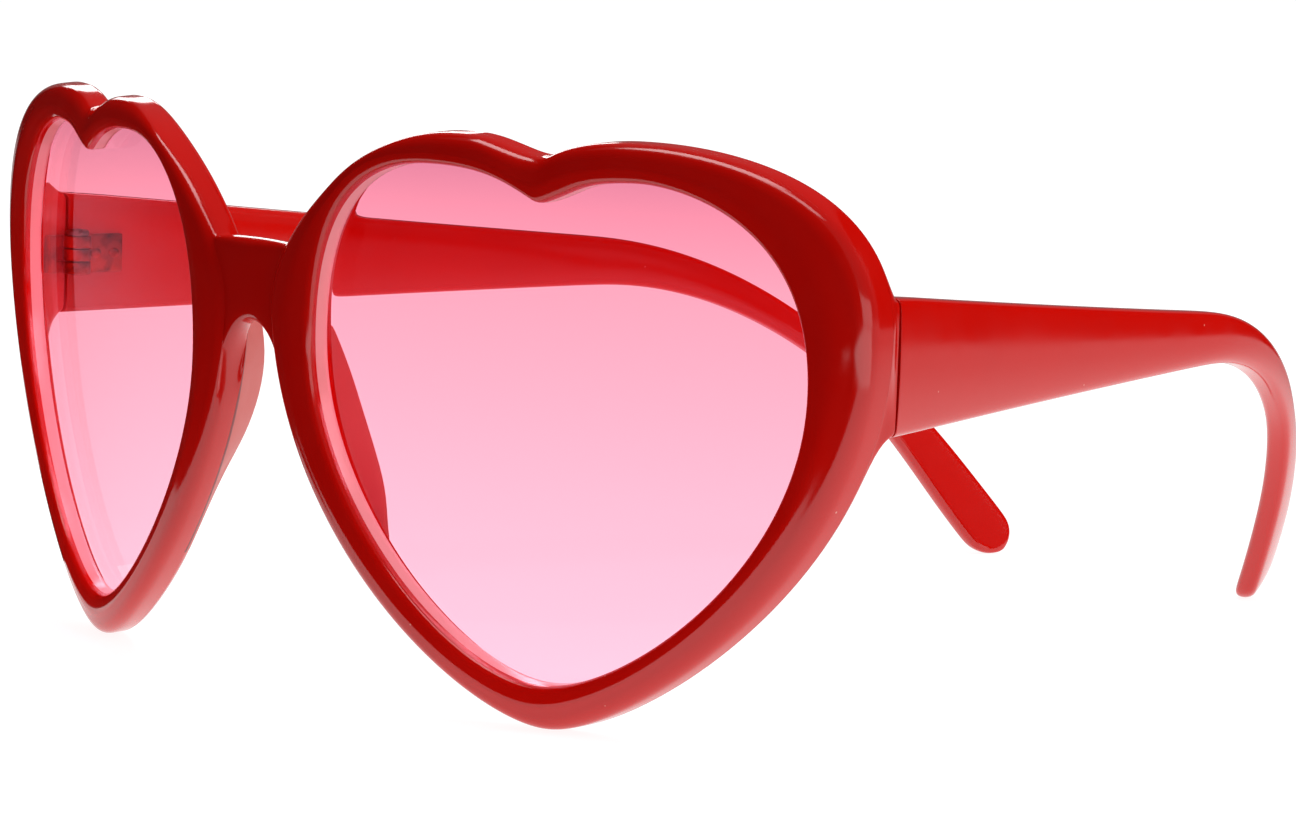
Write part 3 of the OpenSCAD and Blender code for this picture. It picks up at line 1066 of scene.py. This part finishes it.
    def bridge_middle(self) -> list[Triple]:
        """Section of the bridge in the middle, point for point with the patch that it grows from.

        Returns:
            Its places, upright.
        """
        n, m = self.WALL_J - self.FRONT_J, self.bridge_stations
        d = self.rim_depth - self.bridge_step - self.bridge_setback
        h, r = self.bridge_top - self.bridge_underside, self.bridge_edge_r
        at = self.along
        points = [(at(k, n, d, r), at(0, m, h, r) if k == 0 else 0.0) for k in range(n)]
        points += [(at(n, n, d, r) if k == 0 else d, at(k, m, h, r)) for k in range(m)]
        points += [(at(k, n, d, r), at(m, m, h, r) if k == n else h) for k in range(n, 0, -1)]
        points += [(at(0, n, d, r) if k == m else 0.0, at(k, m, h, r)) for k in range(m, 0, -1)]
        return [(0.0, self.bridge_setback + y, self.bridge_top - z) for y, z in points]

    def cells(self, stations: Iterable[int], first: int, last: int) -> set[int]:
        """Numbers of the points at these stations, from one place of the section to another."""
        return {i * self.COUNT + j for i in stations for j in range(first, last + 1)}

    def open_patch(self, grown: GrownMesh, i0: int, i1: int, j0: int, j1: int) -> list[int]:
        """Cuts a hole into the rim, out of which another form can grow.

        Args:
            grown: The rim.
            i0: First station.
            i1: Last station.
            j0: First place of the section.
            j1: Last place of the section.

        Returns:
            Numbers of the points round the hole.
        """
        n = self.COUNT
        grown.cut_patch(self.cells(range(i0, i1 + 1), j0, j1))
        return (
            [i0 * n + j for j in range(j0, j1)] + [i * n + j1 for i in range(i0, i1)]
            + [i1 * n + j for j in range(j1, j0, -1)] + [i * n + j0 for i in range(i1, i0, -1)]
        )

    def build(self, name: str, arm: Arm) -> Piece:
        """Grows half of the front from one section, and mirrors it.

        Args:
            name: Name of the piece.
            arm: The arm that closes on the end block.

        Returns:
            The front's object.
        """
        upright = self.rim_rings()
        rings = [[self.shape.leaned(q) for q in ring] for ring in upright]
        first = range(self.COUNT)
        grown = GrownMesh(name, rings[0])
        grown.grow(grown.sweep(first, rings[1:]), rings[0], first)
        grown.weld()
        self._grow_bridge(grown, [q for ring in upright for q in ring])
        self._grow_block(grown, arm)
        self._dress_patches(grown)
        # The rabbet's corners are cut sharp
        for j in range(self.FOOT_J, self.COUNT):
            grown.crease(self.rabbet_crease, self.cells(range(len(rings)), j, j))
        obj = grown.finish()
        apply_modifier(obj, "MIRROR", merge_threshold=MM / 200)
        apply_modifier(obj, "SUBSURF", levels=2, render_levels=2)
        smooth(obj)
        return obj

    def _grow_bridge(self, grown: GrownMesh, flat: Sequence[Triple]) -> None:
        """Grows the bridge out of the rim's nose side, to the middle.

        Args:
            grown: The rim.
            flat: Upright places of the rim's points by their numbers.
        """
        steps, line = self.shape.curve_steps, self.shape.rim_line()
        i0 = max([i + 1 for i in range(steps, 2 * steps + 1) if line[i][1] > self.bridge_top] + [steps])
        loop = self.open_patch(grown, i0, i0 + self.bridge_stations, self.FRONT_J, self.WALL_J)
        rings = []
        for step in range(1, self.bridge_steps + 1):
            a = 90 * (1 - step / self.bridge_steps)
            turn, ring = 1 - cosine(a), []
            for number, to in zip(loop, self.bridge_middle()):
                x, y, z = flat[number]
                ring.append(self.shape.leaned(
                    (x * sine(a), to[1] + (y - to[1]) * turn, to[2] + (z - to[2]) * turn)
                ))
            rings.append(ring)
        grown.sweep(loop, rings)

    def _grow_block(self, grown: GrownMesh, arm: Arm) -> None:
        """Grows the end block out of the rim's back, to the plane where the arm closes on it.

        Args:
            grown: The rim.
            arm: The arm that closes on the block.
        """
        i0 = 4 * self.shape.curve_steps - self.block_before
        loop = self.open_patch(grown, i0, i0 + self.edge_steps + 1, self.BACK_J, self.FOOT_J)
        # The arm's section without the crowned middles of its broad faces
        section = arm.section(arm.front_t, arm.front_h)
        half = len(section) // 2
        face = []
        for across, up in section[1:half] + section[half + 1:]:
            out = arm.leaf_face + arm.front_t / 2 + across
            face.append(arm.placed(out, arm.joint_plane(out, -1), arm.pin[2] + up))
        # It begins and runs round as the loop does
        count = len(face)
        turned = [face[(2 * count - self.edge_steps + 1 - k) % count] for k in range(count)]
        x, z = (sum(q[axis] for q in turned) / count for axis in (0, 2))
        rings = [
            [(x + (q[0] - x) * share, q[1] - before, z + (q[2] - z) * share) for q in turned]
            for before, share in self.block_rings
        ]
        grown.fill(grown.sweep(loop, rings))

    def _dress_patches(self, grown: GrownMesh) -> None:
        """Gives the pads' sides, the openings' walls and the parting lines slots of their own.

        Args:
            grown: The rim.
        """
        steps, line = self.shape.curve_steps, self.shape.rim_line()
        padded = {i for i in range(steps, 3 * steps + 1) if self.pad_share(i, line[i][1]) > 0}
        padded |= {min(padded) - 1, max(padded) + 1}
        everywhere = range(len(line))
        # The pads get painted sheen, the openings' walls painted light and the parting lines painted shade
        patches = (
            self.cells(padded, self.WALL_J + 1, self.FOOT_J),
            self.cells(everywhere, 0, 0) | self.cells(everywhere, self.COUNT - 1, self.COUNT - 1),
            self.cells(padded, self.WALL_J, self.WALL_J + 1),
        )
        for _ in range(len(patches) + 1):
            grown.obj.data.materials.append(None)
        for slot, patch in enumerate(patches, 1):
            grown.dress_patch(slot, patch)


@dataclass
class Hinge:
    """Left metal hinge: a leaf on the end block, a leaf on the arm, and the screw through their knuckles."""

    stack_h: float = 4.6
    knuckle_r: float = 1.6
    bore_r: float = 0.8
    shank_r: float = 0.75
    shank_edge: float = 0.15
    knuckle_gap: float = 0.1
    head_r: float = 1.35
    head_h: float = 0.8
    head_edge: float = 0.1
    slot_w: float = 0.4
    slot_edge: float = 0.03
    screw_turn: float = 20.0
    leaf_t: float = 1.1
    leaf_sink: float = 0.4
    leaf_face: float = Arm.leaf_face
    arm_leaf_l: float = 4.4
    front_leaf_l: float = 1.4
    tongue_t: float = 0.5
    edge_r: float = 0.16
    edge_mid: float = 0.3
    rivet_r: float = 0.62
    rivet_h: float = 0.24
    rivet_root: float = 0.1
    # Domes: share of the radius, with share of the rivet's height or depth below the screw's top
    rivet_dome: tuple[Pair, ...] = ((1, 0.4), (0.8, 0.85), (0.4, 1), (0, 1))
    head_dome: tuple[Pair, ...] = ((1, 0.35), (0.93, 0.16), (0.72, 0.04), (0.4, 0), (0, 0))
    spin_steps: int = 48
    rivet_steps: int = 24

    @property
    def knuckle_h(self) -> float:
        """Height of one of the three knuckles."""
        return (self.stack_h - 2 * self.knuckle_gap) / 3

    @staticmethod
    def _block(low: Triple, high: Triple, edge_r: float) -> Piece:
        """Adds a block with rounded edges.

        Args:
            low: Lowest corner in millimetres.
            high: Highest corner in millimetres.
            edge_r: Radius of its edges in millimetres.

        Returns:
            The block.
        """
        deselect_all()
        bpy.ops.mesh.primitive_cube_add(size=MM)
        bpy.ops.object.mode_set(mode="EDIT")
        bpy.ops.mesh.select_all(action="SELECT")
        bpy.ops.transform.resize(
            value=tuple(b - a for a, b in zip(low, high)), center_override=(0, 0, 0)
        )
        bpy.ops.transform.translate(value=tuple((a + b) / 2 * MM for a, b in zip(low, high)))
        bpy.ops.mesh.bevel(offset=edge_r * MM, segments=3, affect="EDGES")
        bpy.ops.object.mode_set(mode="OBJECT")
        return bpy.context.object

    @staticmethod
    def _turned(profile: Sequence[Pair], steps: int) -> Piece:
        """Spins a closed profile about the pin.

        Args:
            profile: Radius and height of each corner in millimetres.
            steps: Steps round the pin.

        Returns:
            The turned ring or stud.
        """
        deselect_all()
        bpy.ops.mesh.primitive_circle_add(vertices=len(profile), radius=MM, fill_type="NOTHING")
        obj = bpy.context.object
        bpy.ops.object.mode_set(mode="EDIT")
        mesh = bmesh.from_edit_mesh(obj.data)
        for vert, (radius, height) in zip(mesh.verts, profile):
            vert.co = (radius * MM, 0.0, height * MM)
        bmesh.update_edit_mesh(obj.data)
        bpy.ops.mesh.select_all(action="SELECT")
        bpy.ops.mesh.spin(steps=steps, angle=math.tau, center=(0, 0, 0), axis=(0, 0, 1))
        bpy.ops.mesh.select_all(action="SELECT")
        bpy.ops.mesh.remove_doubles(threshold=WELD)
        bpy.ops.mesh.dissolve_degenerate(threshold=WELD)
        bpy.ops.mesh.normals_make_consistent(inside=False)
        bpy.ops.object.mode_set(mode="OBJECT")
        return obj

    def _knuckle(self, level: int) -> list[Piece]:
        """Models a knuckle and the tongue that joins it to its leaf.

        Args:
            level: Its level, from 0 below to 2 above.

        Returns:
            The ring and the tongue.
        """
        low = (level - 1) * (self.knuckle_h + self.knuckle_gap) - self.knuckle_h / 2
        high = low + self.knuckle_h
        e, m, r, b = self.edge_r, self.edge_r * self.edge_mid, self.knuckle_r, self.bore_r
        profile = (
            (b + e / 2, low), (r - e, low), (r - m, low + m), (r, low + e), (r, high - e),
            (r - m, high - m), (r - e, high), (b + e / 2, high), (b, high - e / 2), (b, low + e / 2),
        )
        inner = self.leaf_face + self.leaf_sink - self.leaf_t
        corner = (inner + self.tongue_t, self.leaf_face + e, high)
        return [self._turned(profile, self.spin_steps), self._block((inner, 0.0, low), corner, e / 2)]

    def _rivet(self, y: float) -> Piece:
        """Models a rivet head on the inner face of a leaf.

        Args:
            y: Its distance from the pin.

        Returns:
            The rivet head.
        """
        r, root = self.rivet_r, -self.rivet_root
        dome = [(r * across, self.rivet_h * up) for across, up in self.rivet_dome]
        stud = self._turned([(0.0, root), (r, root), *dome], self.rivet_steps)
        pick(stud)
        stud.rotation_euler = (0.0, -math.tau / 4, 0.0)
        stud.location = Vector((self.leaf_face + self.leaf_sink - self.leaf_t, y, 0.0)) * MM
        apply_place()
        return stud

    def _leaf(self, name: str, length: float, levels: Sequence[int], rivets: int) -> Piece:
        """Models a leaf that runs along +Y beside the pin.

        Args:
            name: Name of the piece.
            length: Length of its plate.
            levels: Levels of its knuckles.
            rivets: Number of rivet heads on its plate.

        Returns:
            The leaf, at the pin's origin.
        """
        face, half = self.leaf_face, self.stack_h / 2
        outer = face + self.leaf_sink
        parts = [
            self._block((outer - self.leaf_t, face, -half), (outer, face + length, half), self.edge_r)
        ]
        for level in levels:
            parts += self._knuckle(level)
        parts += [self._rivet(face + length * (2 * i + 1) / (2 * rivets)) for i in range(rivets)]
        deselect_all()
        for part in parts:
            part.select_set(True)
        bpy.context.view_layer.objects.active = parts[0]
        bpy.ops.object.join()
        return rename(bpy.context.object, name)

    def _screw(self, name: str) -> Piece:
        """Models the screw: plain shank and a domed head with a straight slot.

        Args:
            name: Name of the piece.

        Returns:
            The screw, at the pin's origin.
        """
        low, base = -self.stack_h / 2, self.stack_h / 2
        r, top, half = self.head_r, base + self.head_h, self.slot_w / 2
        shank, chamfer, edge = self.shank_r, self.shank_edge, self.head_edge
        screw = self._turned(
            [
                (0.0, low), (shank - chamfer, low), (shank, low + chamfer), (shank, base),
                (r - edge, base), (r, base + edge), *((r * a, top - b) for a, b in self.head_dome),
            ],
            self.spin_steps,
        )
        ends = (-2 * r, -half, top - self.head_h / 2), (2 * r, half, top + self.head_h)
        cutter = self._block(*ends, self.slot_edge)
        apply_modifier(screw, "BOOLEAN", object=cutter, operation="DIFFERENCE", solver="EXACT")
        bpy.data.objects.remove(cutter)
        return rename(screw, name)

    @staticmethod
    def _to_pin(obj: Piece, pin: Triple, turn: float) -> Piece:
        """Turns a piece about the pin and moves it there, in its mesh.

        Args:
            obj: The piece.
            pin: Place of the pin in millimetres.
            turn: Its turn about the pin in degrees.

        Returns:
            The piece.
        """
        pick(obj)
        obj.rotation_euler = (0.0, 0.0, math.radians(turn))
        obj.location = Vector(pin) * MM
        apply_place()
        smooth(obj, 40.0)
        return obj

    def build(self, arm: Arm) -> dict[str, Piece]:
        """Models the left hinge at the arm's pin.

        Args:
            arm: The arm that the hinge carries.

        Returns:
            The three pieces by the stems of their nodes.
        """
        front = self._leaf("hinge_front_leaf", self.front_leaf_l, (0, 2), 0)
        mirror(front, (1, -1, 1))
        back = self._leaf("hinge_arm_leaf", self.arm_leaf_l, (1,), 2)
        return {
            "front_hinge_leaf": self._to_pin(front, arm.pin, 0.0),
            "temple_hinge_leaf": self._to_pin(back, arm.pin, arm.toe_in),
            "hinge_screw": self._to_pin(self._screw("hinge_screw_piece"), arm.pin, self.screw_turn),
        }


@dataclass
class Lens:
    """Tinted lens: a heart cut from a sheet bent to the front's bow."""

    thick: float = 1.5
    setback: float = 3.18
    lap: float = 1.12
    edge_r: float = 0.15
    # About half of its width, and the shares of it where its faces have rings
    reach: float = 27.0
    shares: tuple[float, ...] = (0.93, 0.84, 0.74, 0.63, 0.52, 0.41, 0.3, 0.2, 0.11, 0.04)
    shape: FrontShape = SHAPE

    def ring(self, share: float, back: float) -> list[Triple]:
        """Ring of the lens.

        Args:
            share: Share of its size.
            back: Depth behind its front face.

        Returns:
            Its places in millimetres.
        """
        line = [tuple(a[k] + out[k] * self.lap for k in (0, 1)) for a, out, _ in self.shape.stations()]
        x0 = sum(q[0] for q in line) / len(line)
        z0 = self.shape.opening_h * (0.5 - self.shape.middle_share)
        places = []
        for q in line:
            x, z = x0 + (q[0] - x0) * share, z0 + (q[1] - z0) * share
            places.append(self.shape.leaned((x, self.shape.bow(x) + self.setback + back, z)))
        return places

    def build(self, name: str) -> Piece:
        """Models the left lens.

        Args:
            name: Name of the piece.

        Returns:
            The lens.
        """
        e, t = self.edge_r, self.thick
        shares = (1 - e / self.reach, *self.shares)
        first, *rings = [self.ring(s, 0) for s in reversed(shares)]
        rings += [self.ring(1, e), self.ring(1, t - e)] + [self.ring(s, t) for s in shares]
        grown = GrownMesh(name, first, filled=True)
        grown.fill(grown.sweep(range(len(first)), rings))
        obj = grown.finish()
        apply_modifier(obj, "SUBSURF", levels=2, render_levels=2)
        smooth(obj)
        return obj


# Studio

# How much brighter than to the camera white is to a ray that comes through the lens
THROUGH_SHARE = 1.18


def add_glow(tree: Tree, kind: str, lighting: float, mirrored: float | Socket, seen: float) -> bpy.types.Node:
    """Adds white light with one strength for each kind of ray.

    Args:
        tree: The node tree.
        kind: Emission, or Background in the world.
        lighting: Strength for rays that gather light on matt surfaces.
        mirrored: Strength for reflections.
        seen: Strength for the camera and through glass.

    Returns:
        The node.
    """
    rays = add_node(tree, "LightPath").outputs
    through = add_node(
        tree, "MapRange",
        {"Value": rays["Is Transmission Ray"], "To Min": seen, "To Max": seen * THROUGH_SHARE},
    )
    # A ray through rough glass counts as both, and is one that sees
    mirror_ray = add_node(
        tree, "Math", {0: rays["Is Glossy Ray"], 1: rays["Is Transmission Ray"]}, operation="SUBTRACT"
    )
    gloss = add_node(tree, "MapRange", {"Value": mirror_ray, "To Min": through, "To Max": mirrored})
    strength = add_node(
        tree, "MapRange", {"Value": rays["Is Diffuse Ray"], "To Min": gloss, "To Max": lighting}
    )
    return add_node(tree, kind, {"Color": (1, 1, 1, 1), "Strength": strength})


@dataclass(frozen=True)
class Card:
    """A card that the camera doesn't see, with its middle, width and height in metres.

    Reflections see it as bright as mirrored says, and matt surfaces as light says, if at all.
    """

    name: str
    place: Triple
    size: Pair
    turn: Triple = (0, 0, 0)
    mirrored: float = 0.006
    light: float = 0.0

    def build(self) -> None:
        """Adds the card."""
        deselect_all()
        bpy.ops.mesh.primitive_plane_add(
            size=1.0, location=self.place, rotation=tuple(math.radians(angle) for angle in self.turn)
        )
        card = bpy.context.object
        card.name = self.name
        card.scale = (*self.size, 1)
        material, tree = new_material(f"card_{self.name}")
        glow = add_glow(tree, "Emission", self.light, self.mirrored, 0.0)
        add_node(tree, "OutputMaterial", {"Surface": glow})
        card.data.materials.append(material)
        card.visible_camera = False
        card.visible_diffuse = self.light > 0
        card.visible_transmission = False
        card.visible_shadow = False


@dataclass(frozen=True)
class Lamp:
    """A soft square lamp, with its place, target and side in metres."""

    name: str
    place: Triple
    side: float
    watts: float
    target: Triple = (0.0, -0.03, 0.03)

    def build(self) -> None:
        """Adds the lamp, which neither the camera nor a reflection sees."""
        data = bpy.data.lights.new(self.name, "AREA")
        data.size = self.side
        data.energy = self.watts
        lamp = bpy.data.objects.new(self.name, data)
        lamp.location = self.place
        lamp.rotation_euler = (Vector(self.target) - Vector(self.place)).to_track_quat("-Z", "Y").to_euler()
        lamp.visible_camera = False
        lamp.visible_glossy = False
        bpy.context.collection.objects.link(lamp)


@dataclass
class Studio:
    """Floor, world, cards, lamps and camera."""

    place: Triple = (425.06, -445.19, 101.28)
    azimuth: float = 44.5585
    elevation: float = 6.9663
    roll: float = 1.9881
    lens_mm: float = 144.94
    floor_side: float = 8.0
    floor_colour: str = "#858585"
    floor_light: float = 0.95
    floor_seen: float = 0.9
    floor_mirrored: Pair = (0.9, 0.2)
    glow_reach: Pair = (0.08, 0.36)
    world_light: float = 0.6
    world_mirrored: float = 0.12
    # Dim cards keep the room in front dark, black and pale ones are there for reflections alone
    cards: tuple[Card, ...] = (
        Card("front_sheet", (0.0, -0.705, 0.0005), (2.4, 1.2), light=0.28),
        Card("front_card", (0.0, -0.36, 0.4), (1.5, 0.8), (90, 0, 0), light=0.28),
        Card("left_card", (-0.24, -0.22, 0.3), (0.5, 0.6), (90, 0, 90)),
        Card("back_card", (0.26, 0.42, 0.3), (0.7, 0.6), (90, 0, -14)),
        Card("left_sheet", (-0.475, -0.26, 0.0006), (0.8, 0.5)),
        Card("right_sheet", (0.36, -0.12, 0.0007), (0.36, 0.2), mirrored=1.8),
        Card("right_softbox", (0.6, -0.13, 0.06), (0.3, 0.12), (90, 0, 90), 1.5),
        Card("upper_softbox", (0.37, -0.15, 0.7), (0.33, 0.14), mirrored=3.5),
        Card("back_softbox", (-0.62, 0.22, 0.33), (0.5, 0.26), (62, 0, 68), 5.0),
        Card("top_softbox", (0.02, -0.10, 0.7), (0.42, 0.2), mirrored=5.0),
    )
    lamps: tuple[Lamp, ...] = (
        Lamp("right_lamp", (0.75, 0.38, 0.42), 0.4, 2.2),
        Lamp("top_lamp", (0.1, 0.15, 0.9), 0.5, 3.5),
        Lamp("back_lamp", (-0.5, 0.55, 0.55), 0.35, 2.0),
    )

    def build(self) -> None:
        """Makes the camera, the floor, the cards, the world and the lamps."""
        self._camera()
        self._floor()
        for card in self.cards:
            card.build()
        self._world()
        for lamp in self.lamps:
            lamp.build()

    def _camera(self) -> None:
        """Camera at the photograph's angle."""
        a, e, r = self.azimuth, self.elevation, self.roll
        back = Vector((sine(a) * cosine(e), -cosine(a) * cosine(e), sine(e)))
        right = Vector((cosine(a), sine(a), 0))
        up = back.cross(right)
        axes = (cosine(r) * right + sine(r) * up, cosine(r) * up - sine(r) * right, back)
        data = bpy.data.cameras.new("photo_camera")
        data.lens = self.lens_mm
        camera = bpy.data.objects.new("photo_camera", data)
        turn = Matrix(axes).transposed().to_4x4()
        camera.matrix_world = Matrix.Translation(Vector(self.place) * MM) @ turn
        bpy.context.collection.objects.link(camera)
        bpy.context.scene.camera = camera

    def _floor(self) -> None:
        """Plain pale table top: white where it is seen, lit from within, with the object's soft shadow."""
        deselect_all()
        bpy.ops.mesh.primitive_plane_add(size=self.floor_side)
        floor = bpy.context.object
        floor.name = "floor"
        material, tree = new_material("white_card_floor")
        paper = add_node(tree, "BsdfDiffuse", {"Color": linear(self.floor_colour)})
        place = add_node(tree, "TexCoord").outputs["Object"]
        distance = add_node(tree, "VectorMath", {0: place}, operation="LENGTH").outputs["Value"]
        # The lit table under and beside the object mirrors bright, the far table hardly
        near, far = self.glow_reach
        bright, dim = self.floor_mirrored
        mirrored = add_node(
            tree, "MapRange",
            {"Value": distance, "From Min": near, "From Max": far, "To Min": bright, "To Max": dim},
            interpolation_type="SMOOTHSTEP",
        )
        glow = add_glow(tree, "Emission", self.floor_light, mirrored.outputs["Result"], self.floor_seen)
        both = add_node(tree, "AddShader", {0: paper, 1: glow})
        add_node(tree, "OutputMaterial", {"Surface": both})
        floor.data.materials.append(material)

    def _world(self) -> None:
        """World that is white where it is seen and dimmer where it lights."""
        world = bpy.data.worlds.new("studio_world")
        bpy.context.scene.world = world
        world.use_nodes = True
        tree = world.node_tree
        tree.nodes.clear()
        glow = add_glow(tree, "Background", self.world_light, self.world_mirrored, 1.0)
        add_node(tree, "OutputWorld", {"Surface": glow})


@dataclass
class Sunglasses:
    """The whole object: front, lenses, arms and hinges, dressed and riding on their bodies."""

    front: Front = field(default_factory=Front)
    lens: Lens = field(default_factory=Lens)
    arm: Arm = field(default_factory=Arm)
    hinge: Hinge = field(default_factory=Hinge)

    def build(self) -> None:
        """Builds every piece and hands it to its body."""
        made = {finish: finish.value.material() for finish in Finish}
        front = self.front.build("heart_front", self.arm)
        for slot, finish in enumerate((Finish.GLOSS, Finish.MATT, Finish.WALL, Finish.SEAM)):
            front.data.materials[slot] = made[finish]
        self._hand_over(front, "front", "frame", "front_frame")
        lens = self.lens.build("heart_lens_left")
        lens.data.materials.append(made[Finish.DYE])
        arm = self.arm.build("arm_left")
        arm.data.materials.append(made[Finish.GLOSS])
        rims, arms = ("front", "front"), ("temple_left", "temple_right")
        self._hand_over_pair(lens, "heart_lens", rims, "lens", "lens")
        self._hand_over_pair(arm, "arm", arms, "frame", "temple")
        for stem, piece in self.hinge.build(self.arm).items():
            turned = stem == "hinge_screw"
            piece.data.materials.append(made[Finish.STEEL if turned else Finish.PLATE])
            bodies = arms if stem.startswith("temple") else rims
            self._hand_over_pair(piece, f"metal_{stem}", bodies, "screw" if turned else "hinge", stem)

    def _hand_over_pair(
        self, piece: Piece, name: str, bodies: tuple[str, str], slot: str, node: str
    ) -> None:
        """Hands over a left-hand piece and its mirrored copy.

        Args:
            piece: The left-hand piece.
            name: Stem of the pieces' names.
            bodies: Bodies of the left and the right piece.
            slot: Material slot of the nodes.
            node: Stem of the nodes' names.
        """
        rename(piece, f"{name}_left")
        copy = mirrored_copy(piece, f"{name}_right")
        for side, obj, body in zip(Side, (piece, copy), bodies):
            self._hand_over(obj, body, slot, f"{node}_{side.word}")

    @staticmethod
    def _hand_over(obj: Piece, body: str, slot: str, node: str) -> None:
        """Lets a piece ride on a body and stand for a node.

        Args:
            obj: The piece.
            body: The body that it rides on.
            slot: Material slot of the node; not used.
            node: Name of the node.
        """
        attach(obj, body)
        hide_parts(node)
        LOG.info("%s: %d faces on body %s", obj.name, len(obj.data.polygons), body)


def main() -> None:
    """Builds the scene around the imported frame."""
    logging.basicConfig(level=logging.INFO, format="%(name)s: %(message)s")
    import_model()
    scene = bpy.context.scene
    scene.view_settings.view_transform = "Standard"
    Studio().build()
    Sunglasses().build()
    deselect_all()


if __name__ == "__main__":
    main()
